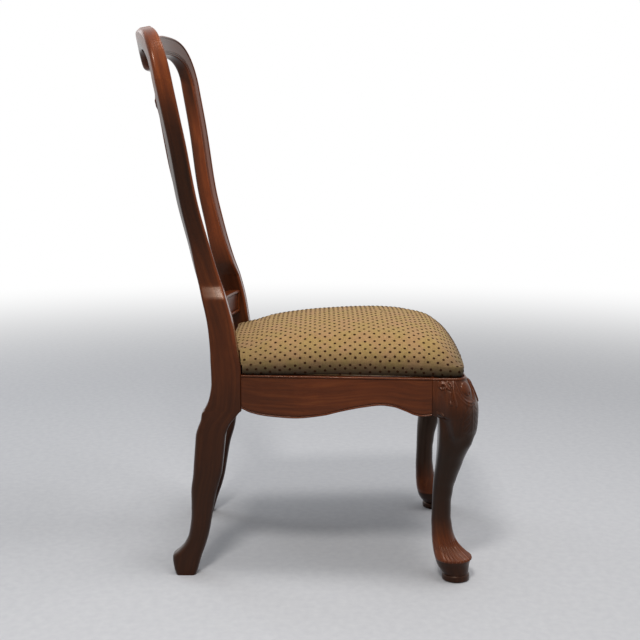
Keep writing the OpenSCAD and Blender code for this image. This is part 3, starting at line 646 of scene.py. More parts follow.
# Painted light and shade on the hoop, blended into the posts' tones above the joint
def crestTones(ring):
    outerIndex = faceCount + 2 * edgeCount
    outer, inner = ring[outerIndex], ring[0]
    across = inner - outer
    tones = []
    for i, p in enumerate(ring):
        inward = smooth((p - outer).dot(across) / across.length_squared, 0.4, 0.9)
        tone = crest["outerTone"] - (crest["outerTone"] - crest["innerTone"]) * inward
        if i <= outerIndex:
            front = 1 - smooth(i, faceCount, outerIndex)
            tone = crest["outerTone"] + (crest["frontTone"] - crest["outerTone"]) * front
        above = smooth(p.z, chair["crestJoint"], chair["crestJoint"] + crest["toneBlend"])
        tones.append(postTone(p) * (1 - above) + tone * above)
    return tones


def makeCrest():
    shares = [math.cos(math.radians(a)) ** 0.25 for a in steps(1.2, 58, 44)] + steps(0.84, 0.0, 56)
    made = [postRing(chair["crestJoint"])] + [crestRing(s) for s in shares]
    rings = [ring for ring, _ in made]
    carves = [carved for _, carved in made]
    for ring, carved in reversed(made[:-1]):
        rings.append([Vector((-p.x, p.y, p.z)) for p in ring])
        carves.append(carved)
    depths = [d for carved in carves for d in carved]
    tones = [t for ring in rings for t in crestTones(ring)]
    piece = loftPiece("crest_rail_wood", rings, showWood, depths, tone=tones)
    return place(piece, "show_wood", "crest_rail")


makeCrest()
print("crest rail made")


# Splat: flat across, bowed from the side

splat = {
    "foot": 514.0,        # height of its foot, on the lower back rail
    "thick": 10.0,
    "set": 3.0,
    "tenon": 12.0,
    "neck": 34.0,
    "half": 84.0,
    "ear": 66.0,
    "edge": 2.6,
    "tone": 0.75,
    "bows": [[-0.05, 0.82], [0, 0.82], [0.25, 0.82], [0.5, 0.88], [0.7, 0.96], [0.85, 1.03], [1.05, 1.03]],
}
splatTop = chair["crestJoint"] + crest["rise"] - crest["face"] - crest["drop"]
splatLine = [[-0.05, 58], [0, 58], [0.035, 50], [0.1, 38], [0.185, splat["neck"]], [0.29, splat["neck"] + 8],
             [0.4, splat["half"] - 26], [0.53, splat["half"] - 6], [0.615, splat["half"]],
             [0.7, splat["half"] - 7], [0.765, splat["half"] - 24], [0.81, splat["ear"] - 17],
             [0.83, splat["ear"] - 16], [0.842, splat["ear"] - 3], [0.868, splat["ear"]],
             [0.88, splat["ear"] - 14], [0.905, 42], [0.96, 38], [1, 38], [1.05, 38]]


def splatShare(z):
    return (z - splat["foot"]) / (splatTop - splat["foot"])


def splatY(z):
    return backY(z) + splat["set"] + posts["bow"] * curve(splat["bows"], splatShare(z))


def makeSplat():
    fine = steps(0, 0.8, 90)[:-1] + steps(0.8, 0.92, 60)[:-1] + steps(0.92, 1, 10)
    levels = [splat["foot"] - splat["tenon"]]
    levels += [splat["foot"] + s * (splatTop - splat["foot"]) for s in fine]
    levels.append(splatTop + splat["tenon"])
    rings = []
    for z in levels:
        half, front, deep = curve(splatLine, splatShare(z)), splatY(z), splat["thick"]
        corners = [Vector((half, front, z)), Vector((half, front + deep, z)),
                   Vector((-half, front + deep, z)), Vector((-half, front, z))]
        rings.append(roundedRing(corners, [splat["edge"]] * 4, 5, [4, 24, 4, 24]))
    return place(loftPiece("back_splat_wood", rings, showWood, tone=splat["tone"]), "show_wood", "back_splat")


makeSplat()
print("splat made")


# Lower back rail: bowed in plan, a sunk face between moulded borders

cross = {
    "low": 466.0,
    "height": 49.0,
    "thick": 24.0,
    "set": 14.0,
    "bow": 26.0,
    "border": 6.5,
    "proud": 1.5,
    "sunk": 1.6,
    "edge": 3.0,
    "leanAt": 492.0,      # the height at which it meets the posts' lean
    "tone": 0.9,
}
postIn = chair["postOut"] - posts["width"]
crossHalf = postIn - 0.1
crossRadius = (postIn ** 2 + cross["bow"] ** 2) / (2 * cross["bow"])
crossY = backY(cross["leanAt"]) + cross["set"]


# How far the face stands out at a height h up the rail and a distance from its end
def crossFace(h, fromEnd):
    edge, border = min(h, cross["height"] - h, fromEnd), cross["border"]
    out = cross["proud"] - (cross["proud"] + cross["sunk"]) * smooth(edge, border - 1.4, border + 0.4)
    out -= 1.2 * bump(edge, border + 1.0, 0.8)
    return out - 1.4 * (1 - smooth(min(h, cross["height"] - h), 0.0, 2.4))


def makeLowerBackRail():
    centreY = crossY + cross["bow"] - crossRadius
    reach = math.asin(crossHalf / crossRadius)
    ends = steps(0, 0.05, 14)[:-1] + steps(0.05, 0.95, 60)[:-1] + steps(0.95, 1, 14)
    heights = steps(0, cross["height"], 72)
    rings, depths = [], []
    for share in ends:
        turn = reach * (2 * share - 1)
        out = Vector((math.sin(turn), math.cos(turn), 0))
        fromEnd = crossHalf - abs(crossRadius * math.sin(turn))
        ring = []
        for h in heights:
            radius = crossRadius - crossFace(h, fromEnd)
            ring.append(out * radius + Vector((0, centreY, cross["low"] + h)))
            # glaze and painted shade in the groove inside the border
            depths.append(0.9 * bump(min(h, cross["height"] - h, fromEnd), cross["border"] + 0.8, 1.0))
        for k in range(9):
            h = cross["height"] * (1 - k / 8)
            inset = cross["edge"] * (1 - math.sqrt(1 - (abs(h / cross["height"] * 2 - 1)) ** 8))
            ring.append(out * (crossRadius + cross["thick"] - inset) + Vector((0, centreY, cross["low"] + h)))
            depths.append(0.0)
        rings.append(ring)
    piece = loftPiece("lower_back_rail_wood", rings, showWood, depths, tone=cross["tone"])
    return place(piece, "show_wood", "lower_back_rail")


makeLowerBackRail()
print("lower back rail made")


# Seat rails

rails = {
    "sideEdge": [[0, 64], [0.05, 72], [0.13, 78], [0.28, 81.5], [0.42, 76], [0.53, 66], [0.64, 57.5],
                 [0.74, 53], [0.8, 55.5], [0.86, 63], [0.92, 71.5], [0.95, 73], [1, 71]],
    "frontEdge": [[0, 71], [0.03, 73], [0.07, 71], [0.14, 59], [0.22, 53], [0.3, 55], [0.4, 66], [0.5, 74]],
    "bead": 3.6,
    "proud": 1.5,
    "lip": 2.2,           # thin moulded lip that hides the foot of the cushion
    "lipRadius": 1.75,
    "lipWidth": 4.2,
    "rearHeight": 69.0,
    "rearSet": 26.0,
    "gap": 0.1,
}


# Painted light and shade: a rail is lighter in its middle and darker towards its ends
def sideTone(p):
    share = (chair["postY"] - p.y) / (chair["postY"] - chair["legBack"])
    return 0.6 + 0.34 * smooth(share, 0.0, 0.4) * (1 - 0.4 * smooth(share, 0.75, 1.0))


def frontTone(p):
    return 0.95 - 0.2 * smooth(abs(p.x), 60, 170)


# Outline of a rail's section from the top of its outer face down and round, as (out, down, carved)
def railSection(height):
    lip, size, proud = rails["lip"], rails["bead"], rails["proud"]
    top = []
    for turn in steps(math.radians(-150), math.radians(80), 14):
        top.append((proud / 2 - 1.0 + rails["lipRadius"] * math.cos(turn),
                    -lip + rails["lipRadius"] * (1 + math.sin(turn)), 0.0))
    after = top[-1][1]
    # the quirks beside the lip and the bead take glaze and painted shade
    top += [(-0.9, after + 0.5, 1.0), (-0.9, after + 1.1, 0.9), (-0.1, after + 1.5, 0.1)]
    bead = height - size
    low = [(-0.1, bead - 1.3, 0.1), (-1.0, bead - 0.9, 0.9), (-1.0, bead - 0.2, 1.0)]
    for turn in steps(math.radians(-62), math.radians(90), 10):
        low.append((proud - size / 2 * (1 - math.cos(turn)), height - size / 2 * (1 - math.sin(turn)), 0.0))
    start, end = top[-1][1], low[0][1]
    middle = [(0.3 * math.sin(math.pi * k / 12), start + (end - start) * k / 12, 0.0) for k in range(1, 12)]
    return top + middle + low


def railRing(height, thick):
    outline = railSection(height)
    inner = [(-thick, height * (1 - k / 8), 0.0) for k in range(9)]
    width = rails["lipWidth"]
    ledge = [(3.0 - thick, 0.0, 0.0), (-width - 1.0, 0.0, 0.0), (-width, -0.6, 0.0),
             (0.4 - width, 0.5 - rails["lip"], 0.0)]
    return outline + inner + ledge


def makeSideRail(name, mirror):
    back, front = chair["postY"] - rails["gap"], chair["legBack"] + rails["gap"]
    rearX, frontX = chair["postOut"], chair["footX"] + chair["railOut"]
    rings, depths = [], []
    for share in steps(0, 1, 110):
        y = back + (front - back) * share
        outerX = rearX + (frontX - rearX) * share
        drop = curve(rails["sideEdge"], share)
        ring = railRing(drop, chair["railThick"])
        rings.append([Vector((outerX + out, y, chair["railTop"] - d)) for out, d, _ in ring])
        depths += [carved for _, _, carved in ring]
    piece = loftPiece(name, rings, showWood, depths, mirror=mirror, tone=sideTone)
    return place(piece, "show_wood", "side_rail_right" if mirror else "side_rail_left")


def makeFrontRail():
    half = chair["footX"] - chair["legIn"] - rails["gap"]
    face = chair["footY"] - chair["railOut"]
    rings, depths = [], []
    for share in steps(0, 1, 110):
        x = half * (2 * share - 1)
        ring = railRing(curve(rails["frontEdge"], min(share, 1 - share)), chair["railThick"])
        rings.append([Vector((x, face - out, chair["railTop"] - d)) for out, d, _ in ring])
        depths += [carved for _, _, carved in ring]
    piece = loftPiece("front_rail_wood", rings, showWood, depths, tone=frontTone)
    return place(piece, "show_wood", "front_rail")


def makeRearRail():
    half = postIn - rails["gap"]
    low, high = chair["railTop"] - rails["rearHeight"], chair["railTop"]
    front = chair["postY"] + rails["rearSet"]
    rings = []
    for x in steps(-half, half, 24):
        corners = [Vector((x, front, high)), Vector((x, front + chair["railThick"], high)),
                   Vector((x, front + chair["railThick"], low)), Vector((x, front, low))]
        rings.append(roundedRing(corners, [1.5, 2.5, 2.5, 1.5], 4, [5, 12, 5, 12]))
    return place(loftPiece("rear_rail_wood", rings, showWood), "show_wood", "rear_rail")


makeSideRail("side_rail_right_wood", True)
makeSideRail("side_rail_left_wood", False)
makeFrontRail()
makeRearRail()
print("seat rails made")


# Front legs: cabriole, round at the knee, hollow-fluted at the foot

legs = {
    "inner": [[0, 28], [12, 28], [20, 33], [28, 38], [41, 42.5], [55, 45.5], [67, 47], [80, 48], [94, 48.4],
              [106, 49], [141, 48], [181, 47], [201, 46], [230, 43], [265, 41], [300, 40], [325, 41],
              [334, 55], [402, 55]],
    "outer": [[0, 22], [12, 22], [20, 23], [33, 25], [39, 26.8], [41.4, 27.6], [42.6, 29.2], [44.8, 29.4],
              [49.2, 24.4], [58, 13.2], [69.5, 2.5], [80, -2.8], [92, -6.8], [106, -9], [120, -11],
              [151, -11], [165, -9], [181, -7], [195, -3], [209, 1], [225, 6], [240, 10], [258, 17],
              [275, 25], [302, 33]],
    "side": [[0, 22], [12, 22], [20, 23], [33, 24], [39, 25.2], [41.4, 25.8], [42.6, 27.2], [44.8, 27.4],
             [49.2, 21.4], [58, 10.4], [69.5, 1], [80, -3.6], [92, -7], [106, -9.4], [120, -11],
             [151, -11], [165, -9], [181, -7], [195, -3], [209, 1], [230, 8], [265, 17], [303, 17],
             [333, 11], [402, 11]],
    "innerRound": [[0, 0.5], [20, 0.5], [49, 0.35], [90, 0.48], [200, 0.46], [265, 0.3], [313, 0.2],
                   [333, 0.03], [402, 0.03]],
    "sideRound": [[0, 0.5], [20, 0.5], [49, 0.44], [90, 0.48], [200, 0.46], [265, 0.34], [313, 0.16],
                  [333, 0.03], [402, 0.03]],
    "kneeRound": [[0, 0.5], [20, 0.5], [49, 0.48], [90, 0.48], [200, 0.48], [265, 0.42], [333, 0.33]],
    # How far the round of the knee reaches, and its radius in plan, by height
    "kneeReach": [[265, 24], [276, 27.5], [300, 34], [320, 36.3], [336, 37], [345, 36.5], [356, 34.8],
                  [367, 31.5], [377, 27.5], [385, 23.6], [391, 20], [396, 16.5], [402, 11.8]],
    "kneeRadius": [[265, 30], [300, 46], [336, 54], [370, 52], [385, 46], [395, 36], [402, 24]],
    "kneeFrom": (266, 298),
    "padRadius": 27.0,
    "padHeight": 14.0,
    "padEdge": 4.0,
    "padShift": -2.5,
    "topRound": [(1.2, -0.1), (1.9, 0.7), (2.2, 1.8), (1.9, 3.2), (0.6, 4.2), (0.0, 5.2)],   # (up, in)
    # How light the wood is by height, with painted light on the upturned top of the foot and painted shade
    # down the shank and under the knee
    "tones": [[0, 0.2], [40, 0.16], [44, 1.15], [70, 1.1], [90, 0.6], [130, 0.12], [250, 0.05], [330, 0.2],
              [350, 0.38], [375, 0.64], [402, 0.68]],
}
sectorHalf = math.radians(112)   # either side of the ridge, where the points are close together
frontPoints = 236
rearPoints = 40


def legCorners(z):
    inner, out, side = curve(legs["inner"], z), curve(legs["outer"], z), curve(legs["side"], z)
    size = inner + side
    corners = [Vector((-inner, -inner, 0)), Vector((-inner, side, 0)), Vector((out, out, 0)),
               Vector((side, -inner, 0))]
    radii = [size * curve(legs[k], z) for k in ("innerRound", "sideRound", "kneeRound", "sideRound")]
    return corners, radii


def plainSection(z):
    corners, radii = legCorners(z)
    return roundedRing(corners, radii, 16, [24, 24, 24, 24])


def kneeSection(z):
    corners, radii = legCorners(min(z, chair["railTop"]))
    inner, side = -corners[0].x, curve(legs["side"], z)
    reach, radius = curve(legs["kneeReach"], z), curve(legs["kneeRadius"], z)
    middle = reach - radius
    start = -inner + radii[1]
    half = [Vector((start + (middle - start) * t, side + (reach - side) * smooth(t, 0, 1), 0))
            for t in steps(0, 1, 20)[1:-1]]
    half += [Vector((middle + radius * math.sin(a), middle + radius * math.cos(a), 0))
             for a in steps(0, math.pi / 4, 20)]
    other = [Vector((p.y, p.x, 0)) for p in reversed(half[:-1])]
    square = [corners[0], Vector((-inner, side, 0)), Vector((side, side, 0)), Vector((side, -inner, 0))]
    turns, sides = 16, 24
    square = roundedRing(square, [radii[0], radii[1], 1.0, radii[3]], turns, [sides, 1, 1, sides])
    # the square's own front corner gives way to the knee
    first = turns + 1 + sides - 1 + turns + 1
    return square[:first] + half + other + square[first + turns + 1:]


# Radius of a section in each direction from its middle
def polarSection(points, middle, angles):
    seen = []
    for p in points:
        d = Vector((p.x - middle, p.y - middle))
        seen.append((math.atan2(d.y, d.x), d.length))
    seen.sort()
    seen = [(seen[-1][0] - math.tau, seen[-1][1])] + seen + [(seen[0][0] + math.tau, seen[0][1])]
    found, i = [], 0
    for angle in angles:
        while i < len(seen) - 2 and seen[i + 1][0] < angle:
            i += 1
        (a, ra), (b, rb) = seen[i], seen[i + 1]
        ax, ay = ra * math.cos(a), ra * math.sin(a)
        dx, dy = rb * math.cos(b) - ax, rb * math.sin(b) - ay
        across = math.cos(angle) * dy - math.sin(angle) * dx
        found.append((ax * dy - ay * dx) / across if abs(across) > 1e-9 else ra)
    return found


ridge = math.pi / 4
legAngles = [ridge - math.pi + (math.pi - sectorHalf) * t for t in steps(0, 1, rearPoints // 2)[:-1]]
legAngles += steps(ridge - sectorHalf, ridge + sectorHalf, frontPoints)
legAngles += [ridge + sectorHalf + (math.pi - sectorHalf) * t for t in steps(0, 1, rearPoints // 2)[1:-1]]
legAngles = sorted((a + math.pi) % math.tau - math.pi for a in legAngles)


def legSection(z):
    if z <= legs["padHeight"]:
        edge = legs["padEdge"]
        near = min(z, legs["padHeight"] - z)
        return legs["padShift"], [legs["padRadius"] - edgeRound(near, edge)] * len(legAngles)
    middle = (curve(legs["outer"], min(z, legs["outer"][-1][0])) - curve(legs["inner"], z)) / 2
    share = smooth(z, *legs["kneeFrom"])
    radii = polarSection(plainSection(z), middle, legAngles) if share < 1 else [0.0] * len(legAngles)
    if share > 0:
        knee = polarSection(kneeSection(z), middle, legAngles)
        radii = [a + (b - a) * share for a, b in zip(radii, knee)]
    return middle, radii


# Carving. Places are (distance round from the ridge, height), the same on both sides of it
carving = {
    "kneeLow": 292.0,     # carved above this height, and below footHigh
    "kneeReach": 80.0,
    "footLow": 38.0,
    "footHigh": 90.0,
    "ground": 1.4,        # how far the ground round the carving is cut down
    "ringHalf": 21.0,
    "ringDrop": 26.0,
    "ringAt": 385.0,
    "ringRidge": 0.9,
    "stoneHalf": 13.0,
    "stoneAt": 384.0,
    "stoneHigh": 4.6,
    "pit": (8.5, 2.2),    # below the stone's middle, and its half width
    "pitDepth": 2.2,
    # Each stroke has its path, as seen from the side, its half width and its height
    "strokes": [
        ([(-42, 388.5), (-40.6, 393.5), (-36.5, 395.6), (-31.5, 394.6), (-28, 389)], 3.9, 3.0),
        ([(-38.2, 385.4), (-37.6, 384.8)], 3.3, 3.0),
        ([(-33.5, 389), (-31.5, 386), (-31.5, 382)], 2.0, 1.3),
        ([(-22.8, 396), (-20.4, 395), (-19, 390)], 3.2, 2.6),
        ([(-25.4, 386.6), (-24.6, 385.6)], 2.4, 2.0),
        ([(-15.6, 393), (-16.4, 385), (-15.4, 376), (-13.4, 366), (-11.5, 356)], 2.3, 1.9),
        ([(-22, 379), (-21.4, 371), (-19, 366)], 1.8, 1.2),
        ([(-22.4, 361.6), (-20.6, 358.6)], 2.8, 2.1),
        ([(-48, 334.6), (-45.5, 337.4), (-41.5, 336)], 3.3, 2.6),
        ([(-39.6, 338.2), (-36.8, 336.8), (-34.6, 334)], 3.0, 2.5),
    ],
    "leafLow": 296.0,
    "leafHigh": 356.0,
    "leafHalf": 25.0,
    "leafHeight": 0.9,
    "fluteAngle": 12.0,   # degrees between the ridges on the foot
    "fluteReach": 78.0,
    "fluteDepth": 2.1,
    "fluteTop": (66, 84),
    "fluteLow": (41.0, 42.8),
    "knobAt": 44.6,       # the ends of the ridges, at the rim of the foot
    "knobHigh": 0.8,
}


def legTone(p):
    return curve(legs["tones"], p.z)


def strokeShare(q, z, path, half):
    nearest = 1e9
    for (qa, za), (qb, zb) in zip(path, path[1:]):
        dq, dz = qb - qa, zb - za
        t = max(0.0, min(1.0, ((q - qa) * dq + (z - za) * dz) / max(1e-9, dq * dq + dz * dz)))
        nearest = min(nearest, math.hypot(q - qa - dq * t, z - za - dz * t))
    return max(0.0, 1 - (nearest / half) ** 2) ** 0.85


def leafRelief(q, z):
    t = (z - carving["leafLow"]) / (carving["leafHigh"] - carving["leafLow"])
    if not 0 < t < 1.15:
        return 0.0
    half = carving["leafHalf"] * math.sin(math.pi * min(1, t) ** 0.6) ** 0.7 + 9 * smooth(t, 0.55, 1)
    lobes = 2.6 * abs(math.sin(math.pi * 4.5 * t))
    inside = 1 - smooth(q, half - 3.4 + lobes, half - 1.4 + lobes)
    high = carving["leafHeight"] * inside * smooth(t, 0, 0.16)
    rib = 0.22 * bump(q, 0, 1.9) - 0.16 * bump(q, 3.6, 1.4)
    veins = -0.4 * max(0.0, math.sin(math.tau * (4.5 * t + q / 17))) ** 3 * smooth(q, 3, 7)
    return high + (rib + veins) * inside * smooth(t, 0, 0.2) * (1 - smooth(t, 0.9, 1.1))


def kneeRelief(q, z):
    q = abs(q)
    ground = -carving["ground"] * smooth(z, 348, 374) * (1 - smooth(q, 49, 57))
    high = ground
    below = max(0.0, carving["ringAt"] - z)
    around = (math.hypot(q / carving["ringHalf"], below / carving["ringDrop"]) - 1) * 23
    if around < 9:
        ridgeHigh = carving["ringRidge"] + carving["ground"]
        high += ridgeHigh * bump(around, 0, 1.9)
        high += ridgeHigh * 0.62 * bump(around, 5.2, 1.7) * smooth(below, 1, 9)
        high -= 1.0 * bump(around, -3.6, 1.6)
    stone = math.hypot(q, z - carving["stoneAt"]) / carving["stoneHalf"]
    if stone < 1:
        high += carving["stoneHigh"] * (1 - stone ** 2) ** 0.55
        drop, half = carving["pit"]
        away = q ** 2 + (z - carving["stoneAt"] + drop) ** 2
        high -= carving["pitDepth"] * math.exp(-away / half ** 2)
    for path, half, height in strokes:
        share = strokeShare(q, z, path, half)
        if share > 0:
            high = max(high, ground + (height - ground) * share)
    # a groove and a lip run round the top, above the carving
    clear = 1 - smooth(z, 398.4, 400)
    return high * clear - 0.9 * bump(z, 399.8, 0.6) + 0.8 * smooth(z, 400.2, 401.4) + leafRelief(q, z)


def footRelief(angle, z):
    turn = math.degrees(angle - ridge)
    if abs(turn) > carving["fluteReach"]:
        return 0.0
    share = (1 - smooth(z, *carving["fluteTop"])) * smooth(z, *carving["fluteLow"])
    place = (turn / carving["fluteAngle"] + 0.5) % 1
    scoop = 1 - (2 * place - 1) ** 2
    knob = carving["knobHigh"] * bump(z, carving["knobAt"], 1.8) * (1 - scoop) ** 2
    return (knob - carving["fluteDepth"] * scoop) * share


def flatSection(z):
    middle, radii = legSection(z)
    return [Vector((middle + r * math.cos(a), middle + r * math.sin(a))) for a, r in zip(legAngles, radii)]


ridgeIndex = min(range(len(legAngles)), key=lambda i: abs(legAngles[i] - ridge))


# Distances round a section from its ridge
def distancesRound(flat):
    around = [0.0] * len(flat)
    for i in range(ridgeIndex + 1, len(flat)):
        around[i] = around[i - 1] + (flat[i] - flat[i - 1]).length
    for i in range(ridgeIndex - 1, -1, -1):
        around[i] = around[i + 1] - (flat[i] - flat[i + 1]).length
    return around


# A place seen from the side, as a distance round from the ridge
def roundFromSide(forward, z):
    flat = flatSection(z)
    around = distancesRound(flat)
    near = min(range(rearPoints // 2, ridgeIndex), key=lambda i: abs(flat[i].y - forward))
    return -around[near], z


strokes = [([roundFromSide(*p) for p in path], half, height) for path, half, height in carving["strokes"]]


# Which way the section faces at a point
def outFrom(flat, i):
    ahead, behind = flat[(i + 1) % len(flat)], flat[i - 1]
    return Vector((ahead.y - behind.y, behind.x - ahead.x)).normalized()


def legPoint(p, z):
    return Vector((chair["footX"] + p.x, chair["footY"] - p.y, z))


def makeLegShape():
    footLow, footHigh, kneeLow = carving["footLow"], carving["footHigh"], carving["kneeLow"]
    levels = [0.0, 0.4, 1.0, 2.0, 3.2] + steps(4, 10, 3) + [10.8, 12, 13, 13.6, 14.0, 14.3]
    levels += steps(15.5, footLow, 12)[:-1] + steps(footLow, 54, 34)[:-1] + steps(54, footHigh, 36)[:-1]
    levels += steps(footHigh, kneeLow, 60)[:-1] + steps(kneeLow, chair["railTop"], 100)
    rings, depths = [], []
    for z in levels:
        flat = flatSection(z)
        around = distancesRound(flat)
        ring = []
        for i, p in enumerate(flat):
            high = 0.0
            if z > kneeLow and abs(around[i]) < carving["kneeReach"]:
                high = kneeRelief(around[i], z)
            elif footLow < z < footHigh:
                high = footRelief(legAngles[i], z)
            if high:
                p = p + outFrom(flat, i) * high
            ring.append(legPoint(p, z))
            # glaze with painted shade lies in the hollows, more of it at the knee than at the foot
            depths.append(max(0.0, min(1.0, -high / 1.8)) * (0.4 if z > kneeLow else 0.1))
        rings.append(ring)
    for up, inset in legs["topRound"]:
        height = chair["railTop"] + up
        rings.append([legPoint(p - outFrom(flat, i) * inset, height) for i, p in enumerate(flat)])
        depths += [0.0] * len(flat)
    return rings, depths


legRings, legDepths = makeLegShape()
for side, mirror in (("right", True), ("left", False)):
    piece = loftPiece(f"front_leg_{side}_wood", legRings, showWood, legDepths, mirror=mirror, tone=legTone)
    place(piece, "show_wood", f"front_leg_{side}")
print("front legs made")


# Seat: a stuffed cushion under one cover, drawn down over the board

seat = {
    "cornerX": 229.0,
    "cornerY": -308.0,
    "cornerRadius": 16.0,
    "bow": 7.0,
    "sideX": 204.0,
    "sideY": 117.5,
    "notchX": 166.0,
    "rearY": 149.5,
    "draw": 4.0,          # how far the sides are drawn in
    "girth": 22.0,        # height of the widest line
    "sideFill": 10.0,
    "low": 0.3,
    "spine": (-150.0, 70.0),       # the line down the middle that the rings shrink onto
    "postHalf": (158, 164),        # where the rear edge starts to lie against the posts
    "postReach": (98, 117),
    # Height above the rails, and its shares by the distance from the front edge and from the sides
    "rearLine": [[-320, 73.5], [-290, 75.5], [-250, 80], [-220, 84.5], [-190, 88], [-140, 90.5], [-100, 90],
                 [-60, 88], [-23, 85.5], [20, 80.5], [56, 74.5], [104, 63], [128, 56.5], [142, 51],
                 [147, 44], [149.5, 36]],
    "frontLine": [[0, 0.29], [2, 0.38], [8, 0.54], [17, 0.69], [25, 0.775], [37, 0.86], [50, 0.915],
                  [70, 0.957], [100, 0.983], [150, 1], [460, 1]],
    "sideLine": [[0, 0.37], [2, 0.44], [9, 0.55], [16, 0.62], [28, 0.7], [45, 0.775], [65, 0.84], [86, 0.885],
                 [107, 0.92], [128, 0.947], [150, 0.968], [171, 0.983], [229, 1]],
    "cornerDrop": 5.0,
}
seatMid = (seat["rearY"] + seat["cornerY"] - seat["bow"]) / 2
seatHalfDeep = (seat["rearY"] - seat["cornerY"] + seat["bow"]) / 2


def seatHalfLine():
    c, r = (seat["cornerX"], seat["cornerY"]), seat["cornerRadius"]
    line = [(x, c[1] - seat["bow"] * (1 - (x / (c[0] - r)) ** 2)) for x in steps(0, c[0] - r, 60)]
    line += [(c[0] - r + r * math.sin(a), c[1] + r - r * math.cos(a)) for a in steps(0, math.pi / 2, 12)[1:]]
    for t in steps(0, 1, 110)[1:]:
        x = c[0] * (1 - t) + seat["sideX"] * t - seat["draw"] * math.sin(math.pi * t)
        line.append((x, (c[1] + r) * (1 - t) + seat["sideY"] * t))
    last = Vector((seat["notchX"], seat["sideY"], 0))
    foot = Vector((seat["notchX"], seat["rearY"], 0))
    corner = cornerArc(Vector((seat["sideX"], seat["sideY"], 0)), last, foot, 5.0, 6)
    line += [(x, seat["sideY"]) for x in steps(seat["sideX"], corner[0].x, 9)[1:-1]]
    line += [(p.x, p.y) for p in corner]
    end = cornerArc(last, foot, Vector((0, seat["rearY"], 0)), 8.0, 6)
    line += [(seat["notchX"], y) for y in steps(corner[-1].y, end[0].y, 7)[1:-1]]
    line += [(p.x, p.y) for p in end]
    return line + [(x, seat["rearY"]) for x in steps(end[-1].x, 0, 44)[1:]]


seatHalf = seatHalfLine()
seatLine = seatHalf + [(-x, y) for x, y in reversed(seatHalf[1:-1])]


def curveWithin(points, x):
    return curve(points, max(points[0][0], min(points[-1][0], x)))


def seatFrontY(x):
    reach = seat["cornerX"] - seat["cornerRadius"]
    return seat["cornerY"] - seat["bow"] * max(0.0, 1 - (x / reach) ** 2)


def seatSideX(y):
    low = seat["cornerY"] + seat["cornerRadius"]
    t = max(0.0, min(1.0, (y - low) / (seat["sideY"] - low)))
    return seat["cornerX"] + (seat["sideX"] - seat["cornerX"]) * t - seat["draw"] * math.sin(math.pi * t)


def seatHeight(x, y):
    height = (curveWithin(seat["rearLine"], y) * curveWithin(seat["frontLine"], y - seatFrontY(x))
              * curveWithin(seat["sideLine"], seatSideX(y) - abs(x)))
    return height - seat["cornerDrop"] * smooth(abs(x), 165, 215) * smooth(-y, 268, 300)


# Height of the widest line
def girthAt(x, y):
    a, b = (x / seat["cornerX"]) ** 2, ((y - seatMid) / seatHalfDeep) ** 2
    w = b / (a + b)
    return seat["girth"] + seat["sideFill"] * (1 - w) * (1 - 4 * w * (1 - w))


def spineBy(y):
    return max(seat["spine"][0], min(seat["spine"][1], y))


def seatPlace(x, y, share):
    return x * share, spineBy(y) + (y - spineBy(y)) * share


def makeSeatDome():
    walls = [(0.0, 0.0), (0.9, 0.0), (0.95, 0.0), (0.962, 0.02), (0.972, 0.07), (0.981, 0.16), (0.988, 0.29),
             (0.9945, 0.47), (0.9985, 0.73), (1.0, 1.0)]
    crowns = [1 - t ** 2.3 for t in steps(0.045, 1, 64)]
    rings = []
    for share, level in walls:
        ring = []
        for x, y in seatLine:
            px, py = seatPlace(x, y, share)
            ring.append(Vector((px, py, chair["railTop"] + max(seat["low"], girthAt(x, y) * level))))
        rings.append(ring)
    for share in crowns:
        ring = []
        for x, y in seatLine:
            px, py = seatPlace(x, y, share)
            girth = girthAt(x, y)
            ease = min(1.0, (1 - share) / 0.012)
            height = seatHeight(px, py) * ease + girth * (1 - ease)
            up = chair["railTop"] + max(girth + 1.5 * ease, height)
            if abs(px) > seat["postHalf"][0]:
                against = smooth(py, *seat["postReach"]) * smooth(abs(px), *seat["postHalf"])
                py += (backY(up) - 1.0 - seat["sideY"]) * against
            ring.append(Vector((px, py, up)))
        rings.append(ring)
    count = len(seatLine)
    # fabric lies flat on the top and runs on down the sides at its own length
    spread = [[Vector((p.x, p.y)) for p in rings[-1]]]
    for i in range(len(rings) - 2, -1, -1):
        outer = []
        for j in range(count):
            x, y = seatLine[j]
            ahead = Vector((x, y - spineBy(y))).normalized()
            outer.append(spread[0][j] + ahead * (rings[i][j] - rings[i + 1][j]).length)
        spread.insert(0, outer)
    verts = [tuple(p * metre) for ring in rings for p in ring]
    return verts, ringFaces(len(rings), count), [(p.x, p.y, 0.0) for ring in spread for p in ring]


def weld(piece, distance):
    shape = bmesh.new()
    shape.from_mesh(piece.data)
    bmesh.ops.remove_doubles(shape, verts=shape.verts, dist=distance)
    bmesh.ops.recalc_face_normals(shape, faces=shape.faces)
    shape.to_mesh(piece.data)
    shape.free()


# The turn from the sides into the crown is rounded first. It sets in over some heights above the
# rails and ends over some places from front to rear, before the posts
easing = {
    "rounds": 14,
    "share": 0.6,
    "heights": (7, 18),
    "clearOfPosts": (80, 105),
}

# The stuffing then pushes the cover out between the hem and the crown
stuffing = {
    "voxel": 6.0,
    "smaller": 3.0,       # the trial copy starts this far inside the cover
    "pressure": 4.0,
    "frames": 20,
    "hemHeight": 6.0,     # sewn down below this height above the rails
    "cap": 3.5,           # the furthest that a point may move
    "heights": (12, 44),
    "clearOfPosts": (70, 112),
    "reach": 20.0,
    "rounds": 22,
    "share": 0.7,
}


def nowMesh(thing):
    return bpy.data.meshes.new_from_object(thing.evaluated_get(bpy.context.evaluated_depsgraph_get()))


